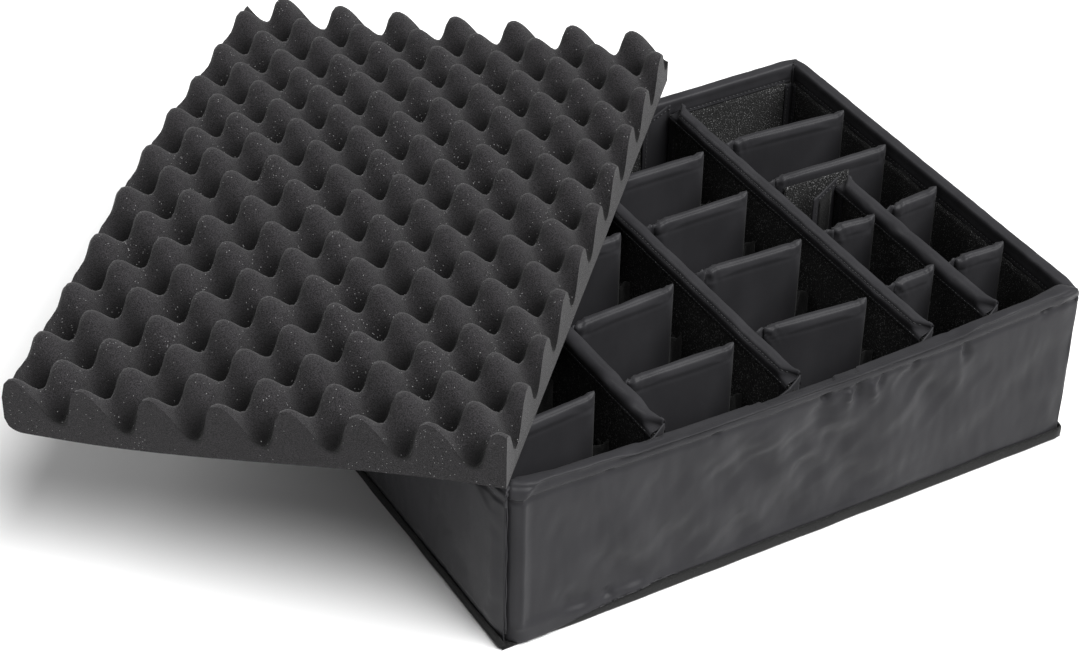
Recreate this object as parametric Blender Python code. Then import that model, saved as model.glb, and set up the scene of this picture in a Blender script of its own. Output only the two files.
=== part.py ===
# Padded divider tray of a transport case with its convoluted foam lid pad
import math

import bmesh
import bpy
from mathutils import Vector

# Outer size of the tray over its fabric walls, and the height of its rim
tray_length = 0.544
tray_width = 0.416
rim_height = 0.156

# Running gap between pieces that touch, and the slack round what lifts out
gap = 0.0003
slack = 0.0004
embed = 0.0015

# Walls: nylon skin, foam board and loop lining
wall_thickness = 0.0128
skin = 0.0013
facing_depth = 0.018
lining_thickness = 0.0012
hem_depth = 0.0095
hem_groove = 0.0009
hem_groove_width = 0.0024
rim_arc_steps = 8

# Floor: felt sole with an upturned edge, stiff base board and loop lining
sole_thickness = 0.002
sole_edge_thickness = 0.0015
sole_edge_height = 0.0095
sole_corner_radius = 0.0022
base_board_thickness = 0.004
floor_lining_thickness = 0.0015
corner_steps = 4

# Corner seams: a cord bead up the outside, over the rim and down the inside
seam_radius = 0.0013
seam_bevel_steps = 2
seam_bend_steps = 8

# Long dividers
divider_top_drop = 0.001
sleeve_half = 0.0052
sleeve_skin = 0.0012
divider_facing_half = 0.006
divider_facing_depth = 0.024
divider_facing_skin = 0.0019
divider_crown_steps = 8
front_end_gap = 0.0075
back_end_gap = 0.004
short_divider_back_gap = 0.0215

# Hook tabs of the long dividers
tab_thickness = 0.0016
tab_bead_radius = 0.0011
tab_bead_steps = 6
tab_hinge_offset = 0.0015
tab_bottom_margin = 0.004
tab_top_margin = 0.0012
tab_length = 0.027
tab_top_drop = 0.0125
front_tab_lead = 0.013
back_tab_lead = 0.0023
open_tab_angle = math.radians(190.0)

# Cross dividers
cross_top_drop = 0.003
cross_half = 0.0046
cross_arc_steps = 6
cross_left_gap = 0.005
cross_short_right_gap = 0.003
cross_tab_drop = 0.006
cross_foot = 0.018
pinch_length = 0.010
pinch_rise = 0.0012
gusset_length = 0.004
gusset_drop = 0.0012
gusset_half_share = 0.68
pinch_half_share = 0.36

# Loop patch on the cross divider that takes the short divider's tab
patch_thickness = 0.0012
patch_length = 0.066
patch_left_inset = 0.014
patch_margin = 0.009

# Foam pad: plan size, pitch of the bumps and thickness at bump and hollow
pad_width = 0.3973
pad_length = 0.5917
pad_peak = 0.0504
pad_valley = 0.016
pad_pitch_across = 0.0545
pad_pitch_along = 0.0615
pad_first_bump_inset = 0.0092
pad_turn = math.radians(-43.7)
pad_corner_inset_x = 0.003
pad_corner_inset_y = 0.0028
bump_steps = 4
bump_gain_share = 2.0
left_sag = 0.0267
left_sag_reach = 0.2515
back_sag = 0.0179
back_sag_reach = 0.248
sag_folds = 5

# Places of the long dividers' middles, as shares of the tray's length
long_divider_shares = (-0.231, 0.0, 0.237)
short_divider_share = 0.3566

# Rows of cross dividers: left and right end, as shares of the tray's width
cross_row_shares = {
    "1": ((-0.337, -0.310), (-0.106, -0.102), (0.103, 0.106), (0.281, 0.275)),
    "2": ((-0.308, -0.312), (-0.111, -0.093), (0.101, 0.104), (0.276, 0.272)),
    "3": ((-0.293, -0.318), (-0.078, -0.091), (0.107, 0.108), (0.277, 0.274)),
    "4": (None, None, (0.126, 0.114), (0.292, 0.267)),
    "4_left": ((-0.294, -0.288), (-0.076, -0.087), None, None),
    "4_right": ((-0.284, -0.291), (-0.075, -0.065), None, None),
}
cross_right_gaps = {"1": 0.017, "2": 0.013, "3": 0.014}

# Heights that follow from the sizes above
base_board_bottom = sole_thickness + gap
base_board_top = base_board_bottom + base_board_thickness
floor_top = base_board_top + gap + floor_lining_thickness
divider_bottom = floor_top + slack
divider_top = rim_height - divider_top_drop
cross_top = rim_height - cross_top_drop
seam_top = rim_height + gap + 2 * seam_radius
pad_bottom = seam_top + gap
inner_half_length = tray_length / 2 - wall_thickness
inner_half_width = tray_width / 2 - wall_thickness

# The pad's front right corner lies on the tray's front left corner
pad_corner_x = (pad_width * math.cos(pad_turn) + pad_length * math.sin(pad_turn)) / 2
pad_corner_y = (pad_width * math.sin(pad_turn) - pad_length * math.cos(pad_turn)) / 2
pad_centre_x = pad_corner_inset_x - tray_length / 2 - pad_corner_x
pad_centre_y = pad_corner_inset_y - tray_width / 2 - pad_corner_y


def clear_scene():
    for item in list(bpy.data.objects):
        bpy.data.objects.remove(item, do_unlink=True)


def make_material(name, colour, roughness, sheen=0.0):
    material = bpy.data.materials.new(name)
    material.use_nodes = True
    shader = material.node_tree.nodes["Principled BSDF"]
    shader.inputs["Base Color"].default_value = (*colour, 1.0)
    shader.inputs["Roughness"].default_value = roughness
    shader.inputs["Metallic"].default_value = 0.0
    shader.inputs["Sheen Weight"].default_value = sheen
    material.diffuse_color = (*colour, 1.0)
    return material


def add_object(name, mesh_data, material, place=(0.0, 0.0, 0.0), turn=0.0):
    mesh = bpy.data.meshes.new(name)
    bmesh.ops.recalc_face_normals(mesh_data, faces=mesh_data.faces)
    mesh_data.to_mesh(mesh)
    mesh_data.free()
    mesh.materials.append(material)
    mesh.shade_smooth()
    mesh.set_sharp_from_angle(angle=math.radians(35.0))
    item = bpy.data.objects.new(name, mesh)
    item.location = place
    item.rotation_euler[2] = turn
    bpy.context.scene.collection.objects.link(item)
    return item


def box(low, high):
    shape = bmesh.new()
    bmesh.ops.create_cube(shape, size=1.0)
    middle = (Vector(low) + Vector(high)) / 2
    size = Vector(high) - Vector(low)
    bmesh.ops.scale(shape, vec=size, verts=shape.verts)
    bmesh.ops.translate(shape, vec=middle, verts=shape.verts)
    return shape


def prism(outline, low, high):
    """Closed prism over a plan outline, from one height to another."""
    shape = bmesh.new()
    bottom = [shape.verts.new((x, y, low)) for x, y in outline]
    face = shape.faces.new(bottom)
    extruded = bmesh.ops.extrude_face_region(shape, geom=[face])
    moved = [item for item in extruded["geom"] if isinstance(item, bmesh.types.BMVert)]
    bmesh.ops.translate(shape, vec=(0.0, 0.0, high - low), verts=moved)
    return shape


def bridge_sections(sections):
    """Closed body through equal sections, each a ring of points."""
    shape = bmesh.new()
    rings = [[shape.verts.new(point) for point in ring] for ring in sections]
    count = len(rings[0])
    for near, far in zip(rings, rings[1:]):
        for step in range(count):
            following = (step + 1) % count
            shape.faces.new((near[step], near[following], far[following], far[step]))
    shape.faces.new(list(reversed(rings[0])))
    shape.faces.new(rings[-1])
    bmesh.ops.recalc_face_normals(shape, faces=shape.faces)
    return shape


def arc(centre_x, centre_z, radius, start, end, steps):
    points = []
    for step in range(steps + 1):
        angle = start + (end - start) * step / steps
        points.append((centre_x + radius * math.cos(angle), centre_z + radius * math.sin(angle)))
    return points


def strip_outline(path, thickness, bead_radius=0.0):
    """Plan outline of a thin strip along a path, with a round bead at its start if wanted."""
    half = thickness / 2
    directions = [(Vector(b) - Vector(a)).normalized() for a, b in zip(path, path[1:])]
    left = []
    right = []
    for index, point in enumerate(path):
        before = directions[max(index - 1, 0)]
        after = directions[min(index, len(directions) - 1)]
        normal = Vector((-(before.y + after.y), before.x + after.x)).normalized()
        reach = half / normal.dot(Vector((-after.y, after.x)))
        left.append(Vector(point) + normal * reach)
        right.append(Vector(point) - normal * reach)
    outline = [tuple(point) for point in left[1:]]
    outline.extend(tuple(point) for point in reversed(right[1:]))
    if bead_radius == 0.0:
        outline.append(tuple(right[0]))
        outline.append(tuple(left[0]))
        return outline
    first = directions[0]
    opening = math.asin(half / bead_radius)
    heading = math.atan2(first.y, first.x)
    start = heading - opening
    end = heading + opening - 2 * math.pi
    for step in range(tab_bead_steps + 1):
        angle = start + (end - start) * step / tab_bead_steps
        rim = Vector((math.cos(angle), math.sin(angle))) * bead_radius
        outline.append(tuple(Vector(path[0]) + rim))
    return outline


def united(name, solids, material, place):
    """One object from solids that run into each other."""
    pieces = [add_object(name + "_solid", solid, material) for solid in solids]
    body = pieces[0]
    for piece in pieces[1:]:
        union = body.modifiers.new("union", "BOOLEAN")
        union.operation = "UNION"
        union.solver = "EXACT"
        union.object = piece
    bpy.context.view_layer.update()
    evaluated = body.evaluated_get(bpy.context.evaluated_depsgraph_get())
    joined = bmesh.new()
    joined.from_mesh(evaluated.to_mesh())
    evaluated.to_mesh_clear()
    for piece in pieces:
        bpy.data.objects.remove(piece, do_unlink=True)
    return add_object(name, joined, material, place)


# Walls
wall_sides = {
    "front": ((0.0, -tray_width / 2, 0.0), 0.0, tray_length / 2),
    "right": ((tray_length / 2, 0.0, 0.0), math.pi / 2, tray_width / 2),
    "back": ((0.0, tray_width / 2, 0.0), math.pi, tray_length / 2),
    "left": ((-tray_length / 2, 0.0, 0.0), -math.pi / 2, tray_width / 2),
}


def wall_body(profile, half_length):
    """Wall solid from a profile of depth and height, with mitred ends."""
    rings = []
    for side in (-1, 1):
        rings.append([(side * (half_length - depth - gap), depth, height) for depth, height in profile])
    return bridge_sections(rings)


def cover_profile():
    radius = wall_thickness / 2
    shoulder = rim_height - radius
    groove = rim_height - hem_depth
    outer = [(0.0, base_board_bottom), (0.0, groove - hem_groove_width / 2)]
    outer.append((hem_groove, groove))
    outer.append((0.0, groove + hem_groove_width / 2))
    outer.extend(arc(radius, shoulder, radius, math.pi, 0.0, rim_arc_steps))
    outer.append((wall_thickness, rim_height - facing_depth))
    inner = [(wall_thickness - skin, rim_height - facing_depth)]
    inner.extend(arc(radius, shoulder, radius - skin, 0.0, math.pi, rim_arc_steps))
    inner.append((skin, groove + hem_groove_width))
    inner.append((skin + hem_groove, groove))
    inner.append((skin, groove - hem_groove_width))
    inner.append((skin, base_board_bottom))
    return outer + inner


def core_profile():
    low = skin + hem_groove + gap
    high = wall_thickness - skin - gap
    radius = (high - low) / 2
    shoulder = rim_height - skin - gap - radius
    profile = [(low, base_board_top + gap)]
    profile.extend(arc(low + radius, shoulder, radius, math.pi, 0.0, rim_arc_steps))
    profile.append((high, base_board_top + gap))
    return profile


def lining_profile():
    low = wall_thickness - skin
    high = low + lining_thickness
    bottom = floor_top + gap
    top = rim_height - facing_depth - gap
    return [(low, bottom), (low, top), (high, top), (high, bottom)]


def make_walls(nylon, foam_board, loop):
    for side, (place, turn, half_length) in wall_sides.items():
        add_object(side + "_wall_cover", wall_body(cover_profile(), half_length), nylon, place, turn)
        add_object(side + "_wall_board", wall_body(core_profile(), half_length), foam_board, place, turn)
        add_object(side + "_wall_lining", wall_body(lining_profile(), half_length), loop, place, turn)


# Floor
def rounded_rectangle(half_x, half_y, radius, height):
    points = []
    corners = ((1, 1, 0.0), (-1, 1, math.pi / 2), (-1, -1, math.pi), (1, -1, 1.5 * math.pi))
    for side_x, side_y, start in corners:
        centre_x = side_x * (half_x - radius)
        centre_y = side_y * (half_y - radius)
        for x, y in arc(centre_x, centre_y, radius, start, start + math.pi / 2, corner_steps):
            points.append((x, y, height))
    return points


def make_sole(felt):
    half_x = tray_length / 2 + gap
    half_y = tray_width / 2 + gap
    edge = sole_edge_thickness
    radius = sole_corner_radius
    rings = [
        rounded_rectangle(half_x + edge, half_y + edge, radius, 0.0),
        rounded_rectangle(half_x + edge, half_y + edge, radius, sole_edge_height),
        rounded_rectangle(half_x, half_y, radius - edge, sole_edge_height),
        rounded_rectangle(half_x, half_y, radius - edge, sole_thickness),
    ]
    add_object("felt_sole", bridge_sections(rings), felt)


def make_floor(foam_board, loop):
    board_half_x = tray_length / 2 - skin - gap
    board_half_y = tray_width / 2 - skin - gap
    board = box((-board_half_x, -board_half_y, base_board_bottom), (board_half_x, board_half_y, base_board_top))
    add_object("base_board", board, foam_board)
    lining_half_x = tray_length / 2 - wall_thickness + skin
    lining_half_y = tray_width / 2 - wall_thickness + skin
    low = (-lining_half_x, -lining_half_y, base_board_top + gap)
    high = (lining_half_x, lining_half_y, floor_top)
    add_object("floor_lining", box(low, high), loop)


# Corner seams
def make_corner_seams(nylon):
    rim_radius = wall_thickness / 2
    bend = rim_radius + gap + seam_radius
    low = sole_edge_height + gap
    foot = floor_top + gap
    corners = {"front_left": (-1, -1), "front_right": (1, -1), "back_right": (1, 1), "back_left": (-1, 1)}
    for name, (side_x, side_y) in corners.items():
        depths = [(rim_radius - bend, low)]
        depths.extend(arc(rim_radius, rim_height - rim_radius, bend, math.pi, 0.0, seam_bend_steps))
        depths.append((rim_radius + bend, foot))
        curve = bpy.data.curves.new(name + "_corner_seam", "CURVE")
        curve.dimensions = "3D"
        curve.bevel_depth = seam_radius
        curve.bevel_resolution = seam_bevel_steps
        curve.use_fill_caps = True
        line = curve.splines.new("POLY")
        line.points.add(len(depths) - 1)
        for point, (depth, height) in zip(line.points, depths):
            x = side_x * (tray_length / 2 - depth)
            y = side_y * (tray_width / 2 - depth)
            point.co = (x, y, height, 1.0)
        curve.materials.append(nylon)
        seam = bpy.data.objects.new(name + "_corner_seam", curve)
        bpy.context.scene.collection.objects.link(seam)


# Long dividers
def make_sleeve(name, half_length, loop, place):
    top = divider_top - divider_facing_depth - gap
    sleeve = box((-sleeve_half, -half_length, 0.0), (sleeve_half, half_length, top - divider_bottom))
    lid = max(sleeve.faces, key=lambda face: face.calc_center_median().z)
    bmesh.ops.inset_region(sleeve, faces=[lid], thickness=sleeve_skin, use_even_offset=True)
    floor = bmesh.ops.extrude_face_region(sleeve, geom=[lid])
    bmesh.ops.delete(sleeve, geom=[lid], context="FACES_ONLY")
    moved = [item for item in floor["geom"] if isinstance(item, bmesh.types.BMVert)]
    depth = top - divider_bottom - sleeve_skin
    bmesh.ops.translate(sleeve, vec=(0.0, 0.0, -depth), verts=moved)
    return add_object(name + "_sleeve", sleeve, loop, place)


def make_divider_facing(name, half_length, nylon, place):
    half = divider_facing_half
    low = divider_top - divider_facing_depth - divider_bottom
    shoulder = divider_top - half - divider_bottom
    section = [(-half, low)]
    section.extend(arc(0.0, shoulder, half, math.pi, 0.0, divider_crown_steps))
    section.append((half, low))
    rings = [[(x, y, z) for x, z in section] for y in (-half_length, half_length)]
    facing = bridge_sections(rings)
    mouth = min(facing.faces, key=lambda face: face.calc_center_median().z)
    bmesh.ops.inset_region(facing, faces=[mouth], thickness=divider_facing_skin, use_even_offset=True)
    roof = bmesh.ops.extrude_face_region(facing, geom=[mouth])
    bmesh.ops.delete(facing, geom=[mouth], context="FACES_ONLY")
    moved = [item for item in roof["geom"] if isinstance(item, bmesh.types.BMVert)]
    bmesh.ops.translate(facing, vec=(0.0, 0.0, shoulder - low), verts=moved)
    return add_object(name + "_facing", facing, nylon, place)


def make_divider_board(name, half_length, foam_board, place):
    half = sleeve_half - sleeve_skin - gap
    end = half_length - divider_facing_skin - gap
    top = divider_top - divider_facing_half - gap - divider_bottom
    board = box((-half, -end, sleeve_skin + gap), (half, end, top))
    return add_object(name + "_board", board, foam_board, place)


def make_tab(name, path, nylon, hinge):
    """Hook tab that turns about its bead, its top edge sloping down away from the hinge."""
    outline = strip_outline(path, tab_thickness, tab_bead_radius)
    top = divider_top - divider_bottom - tab_top_margin
    tab = prism(outline, tab_bottom_margin, top)
    outward = (Vector(path[-1]) - Vector(path[0])).normalized()
    for vert in tab.verts:
        if vert.co.z == top:
            reach = max(vert.co.xy.dot(outward), -tab_bead_radius)
            vert.co.z -= tab_top_drop * (reach + tab_bead_radius) / (tab_length + tab_bead_radius)
    return add_object(name, tab, nylon, hinge)


def closed_tab_path(end_gap, lead, side):
    """Tab folded over the gap behind a divider's end, its foot flat on the wall's lining."""
    depth = side * (end_gap - tab_hinge_offset - slack - tab_thickness / 2)
    return [(0.0, 0.0), (-lead, depth), (-tab_length, depth)]


def open_tab_path():
    x = tab_length * math.cos(open_tab_angle)
    y = tab_length * math.sin(open_tab_angle)
    return [(0.0, 0.0), (x, y)]


def make_long_divider(name, x, ends, back_tab_path, nylon, foam_board, loop):
    """Divider from its front end to its back end, with a hook tab at each."""
    front_end, back_end = ends
    middle = (front_end + back_end) / 2
    half_length = (back_end - front_end) / 2
    place = (x, middle, divider_bottom)
    make_divider_board(name, half_length, foam_board, place)
    make_sleeve(name, half_length, loop, place)
    make_divider_facing(name, half_length, nylon, place)
    hinge_offset = sleeve_half - tab_bead_radius
    front_hinge = (x + hinge_offset, front_end - tab_hinge_offset, divider_bottom)
    back_hinge = (x - hinge_offset, back_end + tab_hinge_offset, divider_bottom)
    make_tab(name + "_front_tab", closed_tab_path(front_end_gap, front_tab_lead, -1), nylon, front_hinge)
    make_tab(name + "_back_tab", back_tab_path, nylon, back_hinge)


def cross_row_place(column, row, share_along):
    left, right = cross_row_shares[column][row]
    return (left + (right - left) * share_along) * tray_width


def short_divider_back_end():
    share_along = (short_divider_share - long_divider_shares[2]) / (0.5 - long_divider_shares[2])
    return cross_row_place("4", 2, share_along) - cross_half - short_divider_back_gap


def make_long_dividers(nylon, foam_board, loop):
    front_end = -inner_half_width + front_end_gap
    back_end = inner_half_width - back_end_gap
    back_tab = closed_tab_path(back_end_gap, back_tab_lead, 1)
    for index, share in enumerate(long_divider_shares):
        name = f"long_divider_{index + 1}"
        x = share * tray_length
        make_long_divider(name, x, (front_end, back_end), back_tab, nylon, foam_board, loop)
    x = short_divider_share * tray_length
    ends = (front_end, short_divider_back_end())
    make_long_divider("short_divider", x, ends, open_tab_path(), nylon, foam_board, loop)


# Cross dividers
def column_faces():
    """Left and right face of each column, in x."""
    half = divider_facing_half
    first, second, third = [share * tray_length for share in long_divider_shares]
    fourth = short_divider_share * tray_length
    return {
        "1": (-inner_half_length, first - half),
        "2": (first + half, second - half),
        "3": (second + half, third - half),
        "4": (third + half, inner_half_length),
        "4_left": (third + half, fourth - half),
        "4_right": (fourth + half, inner_half_length),
    }


def cross_section(x, middle, half, top):
    height = top - divider_bottom
    ring = [(x, middle - half, 0.0)]
    for y, z in arc(middle, height - cross_half, 1.0, math.pi, 0.0, cross_arc_steps):
        rise = (z - height + cross_half) * cross_half
        ring.append((x, middle + (y - middle) * half, height - cross_half + rise))
    ring.append((x, middle + half, 0.0))
    return ring


def cross_body(start, end, lean):
    """Padded slab with a gusseted left end and a pinched right end."""
    stations = (
        (start, cross_half * gusset_half_share, cross_top - gusset_drop),
        (start + gusset_length, cross_half, cross_top),
        (end - pinch_length, cross_half, cross_top),
        (end, cross_half * pinch_half_share, cross_top + pinch_rise),
    )
    return bridge_sections([cross_section(x, lean(x), half, top) for x, half, top in stations])


def cross_tab(face, body_end, side, middle):
    """Flap from the slab's end to the neighbour's face, and the foot that grips it."""
    near = face + side * (slack + tab_thickness / 2)
    path = [(body_end + side * embed, middle), (near, middle), (near, middle + cross_foot)]
    high = cross_top - divider_bottom - cross_tab_drop
    return prism(strip_outline(path, tab_thickness), tab_bottom_margin, high)


def make_cross_divider(column, row, nylon):
    left, right = column_faces()[column]
    span = right - left
    right_gap = cross_right_gaps.get(column, cross_short_right_gap)
    start = cross_left_gap
    end = span - right_gap
    place = (left, cross_row_place(column, row, 0.5), divider_bottom)
    offset = cross_row_place(column, row, 1.0) - cross_row_place(column, row, 0.0)

    def lean(x):
        return offset * (x / span - 0.5)

    solids = [cross_body(start, end, lean)]
    solids.append(cross_tab(0.0, start, 1, lean(start)))
    solids.append(cross_tab(span, end, -1, lean(end)))
    return united(f"cross_divider_{column}_row_{row + 1}", solids, nylon, place)


def make_patch(loop):
    """Loop patch on the front of the third row's divider in the fourth column."""
    left, right = column_faces()["4"]
    span = right - left
    start = patch_left_inset
    low = patch_margin
    high = cross_top - divider_bottom - patch_margin
    rings = []
    for x in (start, start + patch_length):
        back = cross_row_place("4", 2, x / span) - cross_half - gap
        front = back - patch_thickness
        rings.append([(left + x, front, low), (left + x, front, high), (left + x, back, high), (left + x, back, low)])
    add_object("cross_divider_4_row_3_patch", bridge_sections(rings), loop, (0.0, 0.0, divider_bottom))


def make_cross_dividers(nylon, loop):
    for column, rows in cross_row_shares.items():
        for row, ends in enumerate(rows):
            if ends:
                make_cross_divider(column, row, nylon)
    make_patch(loop)


# Foam pad
def eased(share):
    clamped = min(max(share, 0.0), 1.0)
    return clamped * clamped * (3.0 - 2.0 * clamped)


def pad_sag(x, y):
    """How far the overhanging foam hangs down beyond the left and back walls."""
    beyond_left = -tray_length / 2 - x
    beyond_back = y - tray_width / 2
    return left_sag * eased(beyond_left / left_sag_reach) + back_sag * eased(beyond_back / back_sag_reach)


def pad_plan(across, along):
    """Tray coordinates of a point of the pad, from its own front left corner."""
    u = across - pad_width / 2
    v = along - pad_length / 2
    x = pad_centre_x + u * math.cos(pad_turn) - v * math.sin(pad_turn)
    y = pad_centre_y + u * math.sin(pad_turn) + v * math.cos(pad_turn)
    return x, y


def pad_thickness(across, along):
    turn_across = 2 * math.pi * (across - pad_first_bump_inset) / pad_pitch_across
    turn_along = 2 * math.pi * along / pad_pitch_along
    wave = bump_gain_share * math.cos(turn_across) * math.cos(turn_along)
    wave = min(max(wave, -1.0), 1.0)
    return (pad_peak + pad_valley) / 2 + wave * (pad_peak - pad_valley) / 2


def pad_lines(size, pitch, first):
    """Grid lines on the edges of the bumps' crowns and hollows, with the pad's two edges."""
    step = pitch / bump_steps
    lines = [0.0]
    place = first + step / 2
    while place < size - step / 2:
        lines.append(place)
        place += step
    lines.append(size)
    return lines


def make_pad(foam):
    pad = bmesh.new()
    across_lines = pad_lines(pad_width, pad_pitch_across, pad_first_bump_inset)
    along_lines = pad_lines(pad_length, pad_pitch_along, 0.0)
    grid = []
    for along in along_lines:
        row = []
        for across in across_lines:
            x, y = pad_plan(across, along)
            row.append(pad.verts.new((x, y, pad_thickness(across, along))))
        grid.append(row)
    for near, far in zip(grid, grid[1:]):
        for step in range(len(near) - 1):
            pad.faces.new((near[step], near[step + 1], far[step + 1], far[step]))
    corners = ((0.0, 0.0), (pad_width, 0.0), (pad_width, pad_length), (0.0, pad_length))
    base = [pad.verts.new((*pad_plan(across, along), 0.0)) for across, along in corners]
    pad.faces.new((base[0], base[1], *reversed(grid[0])))
    pad.faces.new((base[1], base[2], *reversed([row[-1] for row in grid])))
    pad.faces.new((base[2], base[3], *grid[-1]))
    pad.faces.new((base[3], base[0], *[row[0] for row in grid]))
    pad.faces.new(list(reversed(base)))
    for fold in range(sag_folds):
        share = fold / sag_folds
        left_fold = (-tray_length / 2 - left_sag_reach * share, 0.0, 0.0)
        back_fold = (0.0, tray_width / 2 + back_sag_reach * share, 0.0)
        for place, normal in ((left_fold, (1.0, 0.0, 0.0)), (back_fold, (0.0, 1.0, 0.0))):
            flat = [face for face in pad.faces if all(vert.co.z == 0.0 for vert in face.verts)]
            edges = list({edge for face in flat for edge in face.edges})
            verts = list({vert for face in flat for vert in face.verts})
            bmesh.ops.bisect_plane(pad, geom=verts + edges + flat, plane_co=place, plane_no=normal)
    for vert in pad.verts:
        vert.co.z -= pad_sag(vert.co.x, vert.co.y)
        vert.co.x -= pad_centre_x
        vert.co.y -= pad_centre_y
    add_object("lid_foam_pad", pad, foam, (pad_centre_x, pad_centre_y, pad_bottom))


def build():
    clear_scene()
    nylon = make_material("black_nylon", (0.022, 0.022, 0.024), 0.42, 0.2)
    lining = make_material("black_loop_fabric", (0.008, 0.008, 0.009), 0.95, 0.5)
    felt = make_material("black_felt", (0.012, 0.012, 0.013), 0.97, 0.4)
    board = make_material("grey_foam_board", (0.08, 0.08, 0.085), 0.85)
    foam = make_material("charcoal_foam", (0.035, 0.034, 0.036), 0.92)
    make_sole(felt)
    make_floor(board, lining)
    make_walls(nylon, board, lining)
    make_corner_seams(nylon)
    make_long_dividers(nylon, board, lining)
    make_cross_dividers(nylon, lining)
    make_pad(foam)


build()
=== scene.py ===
import math
import random

import bmesh
import bpy
import numpy
from mathutils import Matrix, Vector, noise


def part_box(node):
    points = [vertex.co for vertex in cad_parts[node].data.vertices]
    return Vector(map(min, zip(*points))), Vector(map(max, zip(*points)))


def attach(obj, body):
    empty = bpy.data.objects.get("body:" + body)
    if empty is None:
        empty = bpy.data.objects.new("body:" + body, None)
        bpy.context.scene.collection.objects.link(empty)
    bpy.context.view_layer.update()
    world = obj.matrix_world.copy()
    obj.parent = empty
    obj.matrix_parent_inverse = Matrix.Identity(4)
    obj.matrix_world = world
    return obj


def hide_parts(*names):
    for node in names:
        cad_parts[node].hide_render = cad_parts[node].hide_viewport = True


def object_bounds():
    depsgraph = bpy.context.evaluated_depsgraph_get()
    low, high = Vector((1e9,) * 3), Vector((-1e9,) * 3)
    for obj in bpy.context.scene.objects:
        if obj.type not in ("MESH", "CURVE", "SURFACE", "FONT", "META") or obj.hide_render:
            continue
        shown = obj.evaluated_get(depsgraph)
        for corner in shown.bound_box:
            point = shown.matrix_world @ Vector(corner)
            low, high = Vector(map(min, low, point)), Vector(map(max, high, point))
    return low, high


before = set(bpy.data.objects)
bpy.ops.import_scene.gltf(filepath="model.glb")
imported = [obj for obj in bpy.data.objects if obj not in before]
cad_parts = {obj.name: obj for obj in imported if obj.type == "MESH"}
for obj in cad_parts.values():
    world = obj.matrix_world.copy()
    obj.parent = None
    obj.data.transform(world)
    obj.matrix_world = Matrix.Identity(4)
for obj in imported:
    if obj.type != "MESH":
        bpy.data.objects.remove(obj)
cadLow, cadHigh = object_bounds()
print("frame loaded")


# Camera, where the photographer stood
camera = {
    "focalPixels": 2800.0,  # focal length in the photo's pixels
    "photoWidth": 1080.0,
    "sensor": 36.0,
    "azimuth": -0.53732,
    "elevation": 0.64512,
    "roll": 0.02202,
    "place": (-1.06028, -1.57691, 1.49537),
    "farthest": 50.0,
}


def makeCamera():
    az, el = camera["azimuth"], camera["elevation"]
    ahead = Vector((-math.sin(az) * math.cos(el), math.cos(az) * math.cos(el), -math.sin(el)))
    level = ahead.cross(Vector((0.0, 0.0, 1.0))).normalized()
    upright = level.cross(ahead)
    c, s = math.cos(camera["roll"]), math.sin(camera["roll"])
    turned = Matrix((c * level + s * upright, c * upright - s * level, -ahead)).transposed().to_4x4()
    data = bpy.data.cameras.new("photoCamera")
    data.sensor_fit = "HORIZONTAL"
    data.sensor_width = camera["sensor"]
    data.lens = camera["focalPixels"] / camera["photoWidth"] * camera["sensor"]
    data.clip_end = camera["farthest"]
    item = bpy.data.objects.new("photoCamera", data)
    item.matrix_world = Matrix.Translation(camera["place"]) @ turned
    bpy.context.scene.collection.objects.link(item)
    bpy.context.scene.camera = item


# Floor and lights of the studio
studio = {
    "paper": (0.87, 0.87, 0.87, 1.0),
    "paperRoughness": 0.9,
    "paperSize": 12.0,
    "gap": 0.0005,  # between the paper and the felt
    "skyColor": (1.0, 1.0, 1.0, 1.0),
    "skyStrength": 0.25,
    "suns": {
        "keySun": (5.8, 52.0, (0.62, -0.92, 1.7)),  # watts a square metre, degrees across, direction
        "backSun": (0.55, 35.0, (-0.2, 1.5, 1.2)),
    },
}


def makeStudio():
    plate = bmesh.new()
    bmesh.ops.create_grid(plate, x_segments=1, y_segments=1, size=studio["paperSize"] / 2)
    bmesh.ops.translate(plate, vec=(0.0, 0.0, cadLow.z - studio["gap"]), verts=plate.verts)
    floor = finishedPiece("studioFloor", plate)
    paper = bpy.data.materials.new("studioPaper")
    paper.use_nodes = True
    shader = paper.node_tree.nodes["Principled BSDF"]
    shader.inputs["Base Color"].default_value = studio["paper"]
    shader.inputs["Roughness"].default_value = studio["paperRoughness"]
    floor.data.materials.append(paper)
    world = bpy.data.worlds.new("studioSky")
    world.use_nodes = True
    sky = world.node_tree.nodes["Background"]
    sky.inputs["Color"].default_value = studio["skyColor"]
    sky.inputs["Strength"].default_value = studio["skyStrength"]
    bpy.context.scene.world = world
    bpy.context.scene.view_settings.view_transform = "Standard"
    for name, (power, spread, source) in studio["suns"].items():
        data = bpy.data.lights.new(name, "SUN")
        data.energy = power
        data.angle = math.radians(spread)
        sun = bpy.data.objects.new(name, data)
        sun.location = source
        sun.rotation_euler = (-Vector(source)).to_track_quat("-Z", "Y").to_euler()
        bpy.context.scene.collection.objects.link(sun)


def finishedPiece(name, shape):
    mesh = bpy.data.meshes.new(name)
    shape.to_mesh(mesh)
    shape.free()
    mesh.shade_smooth()
    item = bpy.data.objects.new(name, mesh)
    bpy.context.scene.collection.objects.link(item)
    return item


makeCamera()
makeStudio()
print("camera and studio ready")


# Shader nodes shared by the materials; a socket takes a value or another node's output
def fillSocket(tree, socket, value):
    if isinstance(value, bpy.types.NodeSocket):
        tree.links.new(value, socket)
    else:
        socket.default_value = value


def addNode(tree, kind, settings=(), **values):
    node = tree.nodes.new(kind)
    for name, value in dict(settings).items():
        setattr(node, name, value)
    for name, value in values.items():
        fillSocket(tree, node.inputs[name.replace("_", " ")], value)
    return node


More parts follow.
